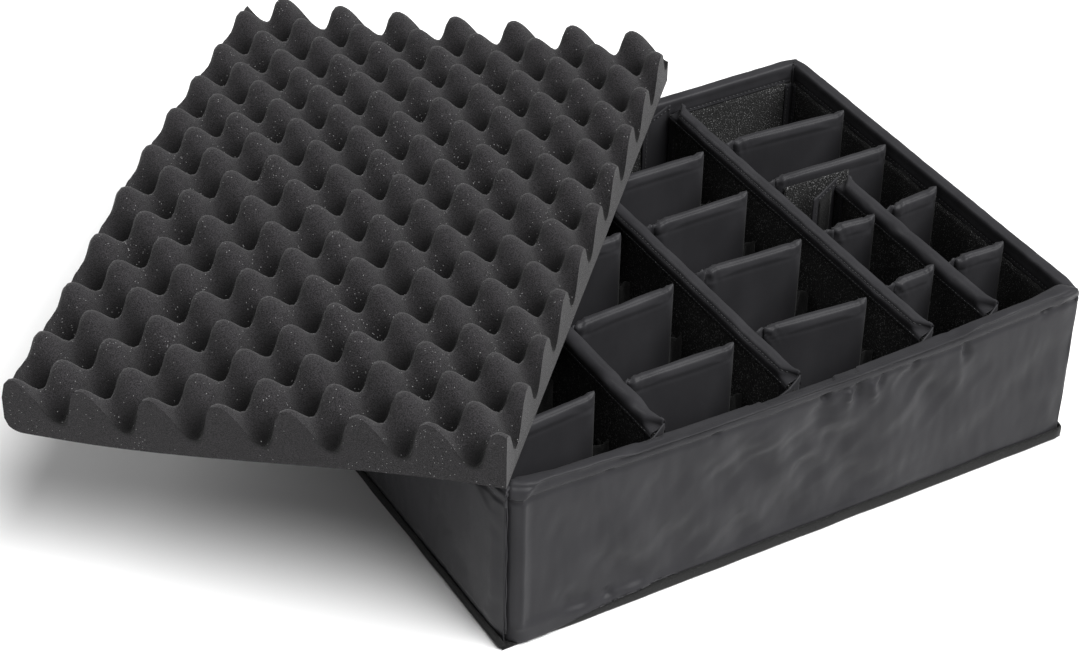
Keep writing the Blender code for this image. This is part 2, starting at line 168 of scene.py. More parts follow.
def mathNode(tree, operation, a, b=0.0, clamped=False):
    node = addNode(tree, "ShaderNodeMath", {"operation": operation, "use_clamp": clamped})
    fillSocket(tree, node.inputs[0], a)
    fillSocket(tree, node.inputs[1], b)
    return node.outputs[0]


def mixNode(tree, factor, first, second, blend="MIX"):
    node = addNode(tree, "ShaderNodeMix", {"data_type": "RGBA", "blend_type": blend})
    for index, value in ((0, factor), (6, first), (7, second)):  # its sockets for colors
        fillSocket(tree, node.inputs[index], value)
    return node.outputs[2]


def noiseNode(tree, vector, scale, detail=2.0, distortion=0.0):
    settings = {"Vector": vector, "Scale": scale, "Detail": detail, "Distortion": distortion}
    return addNode(tree, "ShaderNodeTexNoise", **settings).outputs["Fac"]


def rampNode(tree, factor, span, colors):
    node = addNode(tree, "ShaderNodeValToRGB", Fac=factor)
    for index in (0, 1):
        entry = node.color_ramp.elements[index]
        entry.position = span[index]
        entry.color = colors[index]
    return node.outputs["Color"]


def bumpNode(tree, height, distance, strength=1.0, **normal):
    node = addNode(tree, "ShaderNodeBump", Height=height, Distance=distance, Strength=strength, **normal)
    return node.outputs["Normal"]


def gray(value):
    return (value, value, value, 1.0)


def newGroup(name, inputs, outputs):
    tree = bpy.data.node_groups.new(name, "ShaderNodeTree")
    for label in inputs:
        kind = "NodeSocketVector" if label == "Vector" else "NodeSocketFloat"
        tree.interface.new_socket(label, in_out="INPUT", socket_type=kind)
    for label in outputs:
        tree.interface.new_socket(label, in_out="OUTPUT", socket_type="NodeSocketFloat")
    return tree, tree.nodes.new("NodeGroupInput").outputs, tree.nodes.new("NodeGroupOutput").inputs


def makeWeaveGroup():
    group, given, result = newGroup("clothWeave", ("Vector", "Threads per metre"), ("Height",))
    apart = addNode(group, "ShaderNodeSeparateXYZ", Vector=given["Vector"])
    waves = []
    for axis in (0, 1):
        threads = mathNode(group, "MULTIPLY", apart.outputs[axis], given["Threads per metre"])
        waves.append(mathNode(group, "SINE", mathNode(group, "MULTIPLY", threads, 2 * math.pi)))
    group.links.new(mathNode(group, "MULTIPLY", *waves), result["Height"])
    return group


speckShape = {
    "patchScale": 35.0,
    "patchShare": 0.12,  # how much more often there are specks inside a patch
    "contrast": 18.0,
}


def makeSpeckGroup():
    group, given, result = newGroup("fineSpecks", ("Vector", "Scale", "Threshold"), ("Mask", "Grain"))
    grain = noiseNode(group, given["Vector"], given["Scale"])
    patches = noiseNode(group, given["Vector"], speckShape["patchScale"], 1.0)
    tuned = mathNode(group, "ADD", grain, mathNode(group, "MULTIPLY", patches, speckShape["patchShare"]))
    above = mathNode(group, "SUBTRACT", tuned, given["Threshold"])
    mask = mathNode(group, "MULTIPLY", above, speckShape["contrast"], True)
    group.links.new(mask, result["Mask"])
    group.links.new(grain, result["Grain"])
    return group


weaveGroup = makeWeaveGroup()
speckGroup = makeSpeckGroup()


def startMaterial(name, finish):
    paint = bpy.data.materials.new(name)
    paint.use_nodes = True
    tree = paint.node_tree
    shader = tree.nodes["Principled BSDF"]
    shader.inputs["Roughness"].default_value = finish["roughness"]
    shader.inputs["Specular IOR Level"].default_value = finish["specular"]
    shader.inputs["Sheen Weight"].default_value = finish["sheen"]
    shader.inputs["Sheen Roughness"].default_value = finish["sheenRoughness"]
    return paint, tree, shader, addNode(tree, "ShaderNodeTexCoord").outputs["Object"]


def endMaterial(tree, shader, color, normal):
    tree.links.new(color, shader.inputs["Base Color"])
    tree.links.new(normal, shader.inputs["Normal"])


nylonFinish = {
    "dark": (0.0222, 0.022, 0.0241, 1.0),
    "light": (0.0288, 0.0285, 0.031, 1.0),
    # Clouds from dark to light: partly random tone of the cloth, partly painted sheen drawn upright into
    # streaks by the stretch
    "cloudScale": 30.0,
    "cloudStretch": (1.0, 1.0, 0.5),
    "cloudSpan": (0.35, 0.7),
    "roughness": 0.4,
    "smoothest": 0.3,  # roughness in the light clouds
    "specular": 0.08,
    "sheen": 0.035,
    "sheenRoughness": 0.4,
    "threads": 1500.0,
    "weaveDepth": 0.00002,
    "creaseScale": 110.0,
    "creaseBend": 0.8,
    "creaseDepth": 0.00022,
    "bumpStrength": 0.5,
}


def makeNylon():
    finish = nylonFinish
    paint, tree, shader, place = startMaterial("satinNylon", finish)
    # Painted sheen: the clouds are stretched upright into soft streaks, and the lighter streaks are also
    # smoother
    drawn = addNode(tree, "ShaderNodeMapping", Vector=place, Scale=finish["cloudStretch"])
    clouds = noiseNode(tree, drawn.outputs["Vector"], finish["cloudScale"], 4.0)
    color = rampNode(tree, clouds, finish["cloudSpan"], (finish["dark"], finish["light"]))
    limits = {"To_Min": finish["roughness"], "To_Max": finish["smoothest"]}
    shine = addNode(tree, "ShaderNodeMapRange", Value=clouds, **limits)
    tree.links.new(shine.outputs["Result"], shader.inputs["Roughness"])
    creases = noiseNode(tree, place, finish["creaseScale"], 3.0, finish["creaseBend"])
    creased = bumpNode(tree, creases, finish["creaseDepth"], finish["bumpStrength"])
    weave = addNode(tree, "ShaderNodeGroup", {"node_tree": weaveGroup}, Threads_per_metre=finish["threads"])
    cloth = addNode(tree, "ShaderNodeUVMap", {"uv_map": "clothMap"})
    tree.links.new(cloth.outputs["UV"], weave.inputs["Vector"])
    height = weave.outputs["Height"]
    woven = bumpNode(tree, height, finish["weaveDepth"], finish["bumpStrength"], Normal=creased)
    endMaterial(tree, shader, color, woven)
    return paint


loopFinish = {
    "ground": 0.004,
    "loop": 0.015,
    "grainSpan": (0.35, 0.65),
    "speck": 0.19,
    "scale": 860.0,
    "threshold": 0.675,
    "depth": 0.0008,
    "roughness": 0.95,
    "specular": 0.2,
    "sheen": 0.05,
    "sheenRoughness": 0.6,
}
feltFinish = {**loopFinish, "loop": 0.009, "speck": 0.028, "scale": 800.0, "threshold": 0.7, "depth": 0.0005}
boardFinish = {**feltFinish, "ground": 0.05, "loop": 0.08, "speck": 0.1, "threshold": 0.9}


def makeLoopFabric(name, finish):
    paint, tree, shader, place = startMaterial(name, finish)
    settings = {"Vector": place, "Scale": finish["scale"], "Threshold": finish["threshold"]}
    specks = addNode(tree, "ShaderNodeGroup", {"node_tree": speckGroup}, **settings)
    grain = specks.outputs["Grain"]
    ground = rampNode(tree, grain, finish["grainSpan"], (gray(finish["ground"]), gray(finish["loop"])))
    color = mixNode(tree, specks.outputs["Mask"], ground, gray(finish["speck"]))
    endMaterial(tree, shader, color, bumpNode(tree, grain, finish["depth"]))
    return paint


foamFinish = {
    "pore": (0.0088, 0.0084, 0.009, 1.0),
    "wall": (0.0318, 0.0301, 0.0323, 1.0),
    "poreScale": 1050.0,
    "poreSpan": (0.36, 0.64),
    "poreDepth": 0.0007,
    "paintedShadeDeepest": 0.14,  # painted shade: how dark the hollows' bottoms are painted beside the bumps' tops
    "paintedShadeSpan": (0.02, 0.7),
    "speck": 0.22,
    "speckScale": 420.0,
    "speckRadius": 0.15,  # in shares of the distance between specks
    "patchScale": 26.0,  # the specks come in patches
    "patchStart": 0.42,
    "patchGain": 2.2,
    "roughness": 0.95,
    "specular": 0.15,
    "sheen": 0.12,
    "sheenRoughness": 0.5,
}


def makeFoamMaterial():
    finish = foamFinish
    paint, tree, shader, place = startMaterial("openCellFoam", finish)
    pores = noiseNode(tree, place, finish["poreScale"])
    ground = rampNode(tree, pores, finish["poreSpan"], (finish["pore"], finish["wall"]))
    # Painted shade: the base colour is darkened in the hollows by their depth from the bumpShare attribute,
    # and the cut sides take a fixed middle share
    share = addNode(tree, "ShaderNodeAttribute", {"attribute_name": "bumpShare"}).outputs["Fac"]
    shade = rampNode(tree, share, finish["paintedShadeSpan"], (gray(finish["paintedShadeDeepest"]), gray(1.0)))
    shaded = mixNode(tree, 1.0, ground, shade, "MULTIPLY")
    cells = addNode(tree, "ShaderNodeTexVoronoi", Vector=place, Scale=finish["speckScale"]).outputs
    small = mathNode(tree, "LESS_THAN", cells["Distance"], finish["speckRadius"])
    picked = addNode(tree, "ShaderNodeSeparateColor", Color=cells["Color"]).outputs["Red"]
    patches = mathNode(tree, "SUBTRACT", noiseNode(tree, place, finish["patchScale"]), finish["patchStart"])
    chosen = mathNode(tree, "LESS_THAN", picked, mathNode(tree, "MULTIPLY", patches, finish["patchGain"]))
    color = mixNode(tree, mathNode(tree, "MULTIPLY", small, chosen), shaded, gray(finish["speck"]))
    endMaterial(tree, shader, color, bumpNode(tree, pores, finish["poreDepth"]))
    return paint


threadFinish = {
    "color": (0.016, 0.016, 0.017, 1.0),
    "tint": (0.032, 0.032, 0.034, 1.0),
    "scale": 1800.0,
    "span": (0.3, 0.7),
    "depth": 0.0001,
    "roughness": 0.6,
    "specular": 0.5,
    "sheen": 0.2,
    "sheenRoughness": 0.4,
}


def makeThread():
    finish = threadFinish
    paint, tree, shader, place = startMaterial("sewingThread", finish)
    twist = noiseNode(tree, place, finish["scale"])
    color = rampNode(tree, twist, finish["span"], (finish["color"], finish["tint"]))
    endMaterial(tree, shader, color, bumpNode(tree, twist, finish["depth"]))
    return paint


nylon = makeNylon()
loopFabric = makeLoopFabric("loopFabric", loopFinish)
felt = makeLoopFabric("blackFelt", feltFinish)
foamRubber = makeFoamMaterial()
thread = makeThread()
board = makeLoopFabric("foamBoard", boardFinish)
print("materials ready")


# Sewing room: grids of cloth, their settling, their folds and their stitches
sewing = {
    "scale": 10.0,  # cloth is settled at ten times its size
    "frames": 22,
    "gap": 0.004,  # between cloth and block while it settles
    "foldWander": 0.007,  # how far the folds stray from straight lines
    "foldWanderScale": 17.0,
    "foldSpread": (0.65, 0.7),  # a fold's width at its start and what it gains towards its end
    "foldEnds": 0.4,  # how deep a fold is at its ends
    "stitchLength": 0.0026,
    "stitchPitch": 0.0042,
    "stitchRadius": 0.00034,
}
clothSettings = {
    "quality": 5,
    "mass": 0.3,
    "tension_stiffness": 25.0,
    "compression_stiffness": 25.0,
    "shear_stiffness": 8.0,
    "air_damping": 4.0,
    "vertex_group_mass": "held",
    "use_pressure": True,
}


def evenSteps(length, mesh):
    count = max(round(length / mesh), 1)
    return numpy.linspace(0.0, length, count + 1)


# Cloth with a point at each step along and each step across (reaches)
def clothGrid(name, alongs, reaches, place=None):
    shape = bmesh.new()
    layer = shape.loops.layers.uv.new("clothMap")
    columns = len(alongs)
    bmesh.ops.create_grid(shape, x_segments=columns - 1, y_segments=len(reaches) - 1, size=0.5)
    shape.verts.index_update()
    for vert in shape.verts:
        row, column = divmod(vert.index, columns)
        for loop in vert.link_loops:
            loop[layer].uv = (alongs[column], reaches[row])
        if place:
            vert.co = place(alongs[column], reaches[row])
    return finishedPiece(name, shape)


# The same from a size and the mesh along and across it
def clothSheet(name, size, mesh, place):
    return clothGrid(name, evenSteps(size[0], mesh[0]), evenSteps(size[1], mesh[1]), place)


def meshPoints(item):
    flat = numpy.empty(3 * len(item.data.vertices), dtype=numpy.float32)
    item.data.vertices.foreach_get("co", flat)
    return flat.reshape(-1, 3)


def setPoints(item, points):
    item.data.vertices.foreach_set("co", points.astype(numpy.float32).reshape(-1))
    item.data.update()


# Twice the points along an axis, on smooth curves through those there are
def finer(values, axis=0):
    values = numpy.moveaxis(values, axis, 0)
    framed = numpy.concatenate([2 * values[:1] - values[1:2], values, 2 * values[-1:] - values[-2:-1]])
    middles = (9 * (framed[1:-2] + framed[2:-1]) - framed[:-3] - framed[3:]) / 16
    result = numpy.empty((2 * len(values) - 1, *values.shape[1:]))
    result[0::2] = values
    result[1::2] = middles
    return numpy.moveaxis(result, 0, axis)


# The settled cloth again at twice its mesh, folded by foldAt(along, reach) along its normal
def folded(item, alongs, reaches, foldAt):
    points = meshPoints(item).reshape(len(reaches), len(alongs), 3)
    points = finer(finer(points, 0), 1)
    alongs, reaches = finer(alongs), finer(reaches)
    name = item.name
    bpy.data.objects.remove(item, do_unlink=True)
    finest = clothGrid(name, alongs, reaches)
    setPoints(finest, points)
    normals = [vert.normal.copy() for vert in finest.data.vertices]
    for index, (vert, normal) in enumerate(zip(finest.data.vertices, normals)):
        row, column = divmod(index, len(alongs))
        vert.co += normal * foldAt(alongs[column], reaches[row])
    finest.data.update()
    return finest, alongs, reaches


# The mean of each point of a grid and its neighbours along an axis
def evened(values, axis):
    values = numpy.moveaxis(values, axis, 0).copy()
    values[1:-1] = (values[:-2] + 2 * values[1:-1] + values[2:]) / 4
    return numpy.moveaxis(values, 0, axis)


# Steps from a row or column of a grid to the nearer side
def fromSide(index, steps):
    return min(index, len(steps) - 1 - index)


# firmness(row, column) says how firmly the cloth is held there; the block is used up
def settleCloth(item, alongs, reaches, firmness, cut, block=None, capShare=1.0):
    scale, columns = sewing["scale"], len(alongs)
    before = meshPoints(item)
    setPoints(item, before * scale)
    group = item.vertex_groups.new(name="held")
    for index in range(len(reaches) * columns):
        firm = firmness(*divmod(index, columns))
        if firm:
            group.add([index], firm, "REPLACE")
    cloth = item.modifiers.new("settling", "CLOTH")
    for name, value in clothSettings.items():
        setattr(cloth.settings, name, value)
    cloth.settings.bending_stiffness = cut["bending"]
    cloth.settings.shrink_min = -cut["growth"]
    cloth.settings.uniform_pressure_force = cut["pressure"]
    cloth.settings.effector_weights.gravity = 0.0
    cloth.collision_settings.use_collision = block is not None
    cloth.collision_settings.distance_min = sewing["gap"]
    if block:
        setPoints(block, meshPoints(block) * scale)
        block.modifiers.new("solid", "COLLISION")
        block.collision.thickness_outer = sewing["gap"]
    cloth.point_cache.frame_start = 1
    cloth.point_cache.frame_end = sewing["frames"]
    for step in range(1, sewing["frames"] + 1):
        bpy.context.scene.frame_set(step)
    evaluated = item.evaluated_get(bpy.context.evaluated_depsgraph_get())
    moves = (meshPoints(evaluated) / scale - before).reshape(-1, columns, 3)
    item.modifiers.clear()
    item.vertex_groups.clear()
    for axis in (0, 1, 0, 1):
        moves = evened(moves, axis)
    moves = moves.reshape(-1, 3)
    lengths = numpy.linalg.norm(moves, axis=1, keepdims=True)
    cap = cut["moveCap"] * capShare
    setPoints(item, before + moves * numpy.minimum(1.0, cap / numpy.maximum(lengths, 1e-9)))
    bpy.context.scene.frame_set(1)
    if block:
        bpy.data.objects.remove(block, do_unlink=True)


# Dashes of thread along a line of points, added to shape
def stitchRow(shape, points, normals, lift=0.0002):
    pitch, reach = sewing["stitchPitch"], 0.0
    radius = sewing["stitchRadius"]
    for near, far, normal in zip(points, points[1:], normals):
        run = (far - near).length
        while reach < run:
            middle = near.lerp(far, reach / run) + normal * lift
            ahead = (far - near).normalized()
            side = normal.cross(ahead).normalized()
            turned = Matrix((ahead * sewing["stitchLength"] / 2, side * radius, normal * radius))
            placed = Matrix.Translation(middle) @ turned.transposed().to_4x4()
            bmesh.ops.create_icosphere(shape, subdivisions=1, radius=1.0, matrix=placed)
            reach += pitch
        reach -= run


def rowOf(item, alongs, row, trim=1):
    verts = item.data.vertices
    chosen = [verts[row * len(alongs) + column] for column in range(trim, len(alongs) - trim)]
    return [vert.co.copy() for vert in chosen], [vert.normal.copy() for vert in chosen]


def dress(item, paint, body, nodes=()):
    item.data.materials.clear()
    item.data.materials.append(paint)
    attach(item, body)
    if nodes:
        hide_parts(*nodes)
    return item


def smoothStep(share):
    clamped = min(max(share, 0.0), 1.0)
    return clamped * clamped * (3.0 - 2.0 * clamped)


# A sine or cosine with its power: 1 gives round shapes, less gives squarer ones
def squared(value, power):
    return math.copysign(abs(value) ** power, value)


# 1 at no distance, fading over the width
def bell(distance, width):
    return math.exp(-(distance / width) ** 2)


# The groove is (place, depth, width), and a ridge has a negative depth
def groove(shape, distance):
    place, depth, width = shape
    return depth * bell(distance - place, width)


# Unevenness at a point; its size is (depth, scale along, scale across)
def uneven(size, along, reach, seed):
    depth, alongScale, reachScale = size
    return depth * noise.noise(Vector((along * alongScale, reach * reachScale, seed)))


# How far the folds dent the cloth at a point: each is a line, narrow at its start and faint at its ends
def foldsAt(folds, along, reach):
    scale = sewing["foldWanderScale"]
    bend = noise.noise_vector(Vector((along * scale, reach * scale, 0.5))) * sewing["foldWander"]
    point = Vector((along + bend.x, reach + bend.y))
    narrow, gain = sewing["foldSpread"]
    ends = sewing["foldEnds"]
    dent = 0.0
    for near, far, width, depth in folds:
        share = (point - near).dot(far - near) / (far - near).length_squared
        inside = min(max(share, 0.0), 1.0)
        away = (point - near.lerp(far, inside)).length
        spread = width * (narrow + gain * inside)
        if away < 2.5 * spread:
            fade = ends + (1.0 - ends) * smoothStep(3 * min(inside, 1.0 - inside))
            dent += depth * fade * bell(away, spread)
    return dent


def thicken(item, thickness, offset=-1.0):
    wall = item.modifiers.new("thickness", "SOLIDIFY")
    wall.thickness = thickness
    wall.offset = offset


# Closed block in a grid of faces; an axis whose crisp is below 1 has them finer towards its ends
def slab(low, high, cuts, crisp=(1.0, 1.0, 1.0)):
    shape = bmesh.new()
    bmesh.ops.create_cube(shape, size=2.0)
    for axis, count in enumerate(cuts):
        edges = [edge for edge in shape.edges if abs(edge.verts[0].co[axis] - edge.verts[1].co[axis]) > 0.01]
        bmesh.ops.subdivide_edges(shape, edges=edges, cuts=count, use_grid_fill=True)
    for vert in shape.verts:
        for axis in range(3):
            vert.co[axis] = squared(vert.co[axis], crisp[axis])
    low, high = Vector(low), Vector(high)
    bmesh.ops.scale(shape, vec=(high - low) / 2, verts=shape.verts)
    bmesh.ops.translate(shape, vec=(low + high) / 2, verts=shape.verts)
    return shape


# The cloth's faces turned away from a point behind it
def faceAway(item, behind):
    face = item.data.polygons[len(item.data.polygons) // 2]
    if face.normal.dot(face.center - behind) < 0:
        item.data.flip_normals()


# The tray's outer sizes, which its cloth pieces share
tray = {
    "length": 0.544,
    "width": 0.416,
    "rim": 0.156,
    "wall": 0.0128,
    "bottom": 0.0023,
    "floor": 0.0081,
    "dividerBottom": 0.0085,
    "dividerTop": 0.155,
}


# Walls: nylon over the rim, loop lining inside
wallCloth = {
    "mesh": 0.0038,
    "rimMesh": 0.0021,
    "rimBand": 0.02,  # below the rim the mesh is finer
    "hemDepth": 0.0112,
    "facingDepth": 0.018,
    "rimPower": 0.85,
    "rimRadius": {"front": 0.0046, "right": 0.0058, "back": 0.0058, "left": 0.0058},
    "rimSag": {"front": 0.0042, "right": 0.0008, "back": 0.0008, "left": 0.0008},
    "rimRamp": 0.045,  # over this length from the corners the rim gets its full shape
    "rimWaver": (0.0008, 14.0, 1.0),  # depth and two scales, as with all uneven sizes below
    "foldDepth": 1.7,
    "foldWidth": 1.55,
    "puckerWidth": 6,  # millimetres; folds up to this width are puckers
    "puckerDepth": 1.5,
    "ridgeWidth": 1.5,
    "ridgeDepth": 0.6,
    "grain": (0.00016, 120.0, 40.0),
    "crumple": (0.0003, 24.0, 24.0),
    "sway": (0.0012, 16.0, 5.0),  # of the groove and the crease
    "hemGroove": (0.0, 0.0015, 0.0022),  # place, depth, width, as with all grooves below
    "rimCrease": (0.0, 0.001, 0.0013),
    "edgeGroove": (-0.003, 0.0006, 0.0012),
    "cornerReach": 0.02,
    "cornerRoll": 0.018,  # the cloth turns inwards towards the corner over this length
    "tuck": 0.0045,  # and goes into the corner's slit with this much of its end
    "boardInset": 0.0066,
    "boardFoot": 0.012,
    "boardDrop": 0.019,
    "blockSlack": (0.004, 0.004, 0.003),  # how much smaller than the wall the block under the cloth is
    "feltHeight": 0.012,
    "thickness": 0.0008,
    "growth": 0.035,
    "pressure": 1.1,
    "bending": 0.12,
    "moveCap": 0.0032,
    "bow": {"front": 0.003, "right": 0.001, "back": 0.001, "left": 0.001},
    "liningThickness": 0.0008,
    "liningMesh": (0.008, 0.008),
    "liningWave": (0.0004, 30.0, 30.0),
}
wallSides = {  # middle of its outer foot, turn, half its length
    "front": (Vector((0.0, -tray["width"] / 2, 0.0)), 0.0, tray["length"] / 2),
    "right": (Vector((tray["length"] / 2, 0.0, 0.0)), math.pi / 2, tray["width"] / 2),
    "back": (Vector((0.0, tray["width"] / 2, 0.0)), math.pi, tray["length"] / 2),
    "left": (Vector((-tray["length"] / 2, 0.0, 0.0)), -math.pi / 2, tray["width"] / 2),
}

# Folds of the front wall as the photo shows them, in millimetres along the wall and up it:
# start, end, width, depth, and a ridge has a negative depth
frontFolds = [
    ((292, 150), (289, 139), 3.0, 1.8),
    ((284, 140), (288, 112), 7.5, 2.4),
    ((288, 112), (326, 78), 10.0, 3.0),
    ((299, 136), (310, 100), 7.0, -2.2),
    ((322, 148), (321, 130), 3.4, 1.7),
    ((312, 145), (310, 132), 4.0, -1.2),
    ((332, 146), (338, 126), 4.5, -1.2),
    ((345, 146), (341, 136), 2.6, 1.0),
    ((314, 62), (342, 16), 12.0, 3.4),
    ((336, 78), (374, 26), 11.0, -2.4),
    ((358, 138), (382, 118), 9.0, 2.6),
    ((382, 118), (408, 88), 11.0, 3.2),
    ((342, 124), (374, 90), 11.0, -2.6),
    ((400, 128), (420, 96), 10.0, -1.4),
    ((378, 147), (373, 136), 3.2, 1.0),
    ((427, 142), (429, 127), 3.4, 1.4),
    ((430, 126), (450, 96), 8.0, 1.3),
    ((504, 96), (470, 60), 10.0, 0.5),
    ((470, 60), (420, 22), 11.0, 0.7),
    ((520, 120), (505, 60), 14.0, 1.2),
    ((258, 118), (270, 86), 10.0, 2.4),
    ((270, 86), (292, 50), 12.0, 3.0),
    ((244, 112), (262, 66), 10.0, -2.0),
    ((228, 136), (241, 108), 9.0, -2.2),
    ((206, 128), (238, 74), 11.0, 3.2),
    ((182, 112), (212, 74), 10.0, 2.6),
    ((196, 106), (224, 68), 7.0, -1.6),
    ((140, 68), (178, 24), 12.0, 3.2),
    ((164, 66), (198, 28), 9.0, -2.2),
    ((206, 48), (224, 16), 9.0, 2.4),
    ((234, 58), (282, 22), 13.0, 2.6),
    ((90, 52), (134, 20), 10.0, 2.6),
    ((98, 22), (92, 13), 5.0, 1.2),
    ((52, 32), (80, 14), 7.0, 1.8),
    ((104, 84), (136, 52), 12.0, -1.4),
    ((118, 122), (160, 92), 16.0, 1.4),
    ((36, 120), (76, 66), 18.0, 1.2),
    ((512, 152), (502, 141), 3.2, 1.2),
    ((527, 153), (521, 145), 3.0, 1.0),
    ((188, 151), (183, 142), 3.2, 0.8),
    ((92, 151), (89, 144), 3.0, 0.6),
]


# Slanted folds and notches below the rim, for the walls that the photo hides, in millimetres too
hiddenFolds = {
    "count": 9,
    "strength": {"right": 0.8, "back": 0.8, "left": 0.3},
    "height": (40, 135),
    "run": (18, 50),
    "slant": 0.7,
    "width": (6, 11),
    "depth": (0.8, 2.0),
    "ways": (1.0, 1.0, -0.8),  # a third are ridges
    "notchTop": 152,
    "notchLean": (-5, 5),
    "notchFoot": (128, 141),
    "notchWidth": 2.6,
    "notchDepth": (0.5, 1.2),
}


def looseFolds(side, seed):
    dice = random.Random(seed)
    length = 2000 * wallSides[side][2]
    folds = []

    def draw(name):
        return dice.uniform(*hiddenFolds[name])

    for _ in range(hiddenFolds["count"]):
        along, height = dice.uniform(20, length - 60), draw("height")
        run, width = draw("run"), draw("width")
        depth = hiddenFolds["strength"][side] * draw("depth") * dice.choice(hiddenFolds["ways"])
        folds.append(((along, height), (along + run * hiddenFolds["slant"], height - run), width, depth))
        notch = dice.uniform(20, length - 20)
        foot = (notch + draw("notchLean"), draw("notchFoot"))
        folds.append(((notch, hiddenFolds["notchTop"]), foot, hiddenFolds["notchWidth"], draw("notchDepth")))
    return folds


# A wall's folds in metres, with their ends as vectors
def wallFolds(side, order):
    folds = []
    for near, far, width, depth in frontFolds if side == "front" else looseFolds(side, 5 + order):
        if width <= wallCloth["puckerWidth"]:
            depth *= wallCloth["puckerDepth"]
        else:
            width *= wallCloth["foldWidth"] * (wallCloth["ridgeWidth"] if depth < 0 else 1.0)
            depth *= wallCloth["ridgeDepth"] if depth < 0 else 1.0
        folds.append((Vector(near) / 1000, Vector(far) / 1000, width / 1000, depth / 1000))
    return folds


def wallPlace(side, along, depth, height):
    place, turn, half = wallSides[side]
    return place + Matrix.Rotation(turn, 3, "Z") @ Vector((along, depth, height))


# How a cover's end turns into its corner, by side and whether it is the wall's start: depth, then
# the slit's place along the wall, and how far the tucked end goes inwards and along
cornerShapes = {
    ("front", True): (0.0062, 0.0062, 0.9, -0.1),
    ("left", False): (0.0022, 0.0018, 0.4, 0.75),
}
otherCorners = (0.0022, 0.0022, 0.66, 0.75)


# Depth and height of the cover's section, from its foot over the rim to its inside hem
def coverSection(side, along, reach):
    whole = tray["wall"] / 2
    outside = tray["rim"] - whole - tray["bottom"]
    length = 2 * wallSides[side][2]
    fromEnd = min(along, length - along)
    radius = whole + (wallCloth["rimRadius"][side] - whole) * smoothStep(fromEnd / wallCloth["rimRamp"])
    sag = wallCloth["rimSag"][side] * math.sin(math.pi * along / length)
    sag += uneven(wallCloth["rimWaver"], along, len(side), 2.0) * smoothStep(fromEnd / 0.03)
    shoulder = tray["rim"] - max(sag, 0.0) - radius
    if reach < outside:
        return 0.0, tray["bottom"] + reach * (shoulder - tray["bottom"]) / outside
    turn = (reach - outside) / whole
    power = wallCloth["rimPower"]
    if turn < math.pi:
        across, up = squared(math.cos(turn), power), squared(math.sin(turn), power)
        return radius - radius * across, shoulder + radius * up
    down = (reach - outside - math.pi * whole) / (wallCloth["facingDepth"] - whole)
    depth = 2 * radius + (tray["wall"] - 2 * radius) * smoothStep(down)
    return depth, shoulder + (tray["rim"] - wallCloth["facingDepth"] - shoulder) * down


def coverReaches():
    radius = tray["wall"] / 2
    outside = tray["rim"] - radius - tray["bottom"]
    section = outside + math.pi * radius + wallCloth["facingDepth"] - radius
    start = outside - wallCloth["rimBand"]
    broad = evenSteps(start, wallCloth["mesh"])
    return numpy.concatenate([broad[:-1], start + evenSteps(section - start, wallCloth["rimMesh"])])


# The front cover's foot laps over the felt at its left end
lap = {
    "start": 0.005,
    "startRun": 0.006,
    "end": 0.142,
    "endRun": 0.022,
    "top": 0.02,
    "topRun": 0.006,
    "depth": 0.0027,
    "hangStart": 0.006,
    "hangRun": 0.11,
    "hangEnd": 0.175,
    "hangEndRun": 0.02,
    "foot": 0.0008,
}


def frontLap(along, reach, height):
    ends = smoothStep((lap["end"] - along) / lap["endRun"])
    ends *= smoothStep((along - lap["start"]) / lap["startRun"])
    low = smoothStep((lap["top"] - reach) / lap["topRun"])
    hang = wallCloth["feltHeight"] * smoothStep((along - lap["hangStart"]) / lap["hangRun"])
    hang *= smoothStep((lap["hangEnd"] - along) / lap["hangEndRun"])
    return lap["depth"] * ends * low, max(height, hang, lap["foot"])


# The block that keeps a settling cover out of its wall
def makeWallBlock(side):
    block = bmesh.new()
    bmesh.ops.create_cube(block, size=1.0)
    size = Vector((2 * wallSides[side][2], tray["wall"], tray["rim"])) - Vector(wallCloth["blockSlack"])
    bmesh.ops.scale(block, vec=size, verts=block.verts)
    bmesh.ops.rotate(block, verts=block.verts, matrix=Matrix.Rotation(wallSides[side][1], 3, "Z"))
    centre = wallPlace(side, 0.0, tray["wall"] / 2 + 0.0002, tray["rim"] / 2)
    bmesh.ops.translate(block, vec=centre, verts=block.verts)
    return finishedPiece("wallBlock", block)


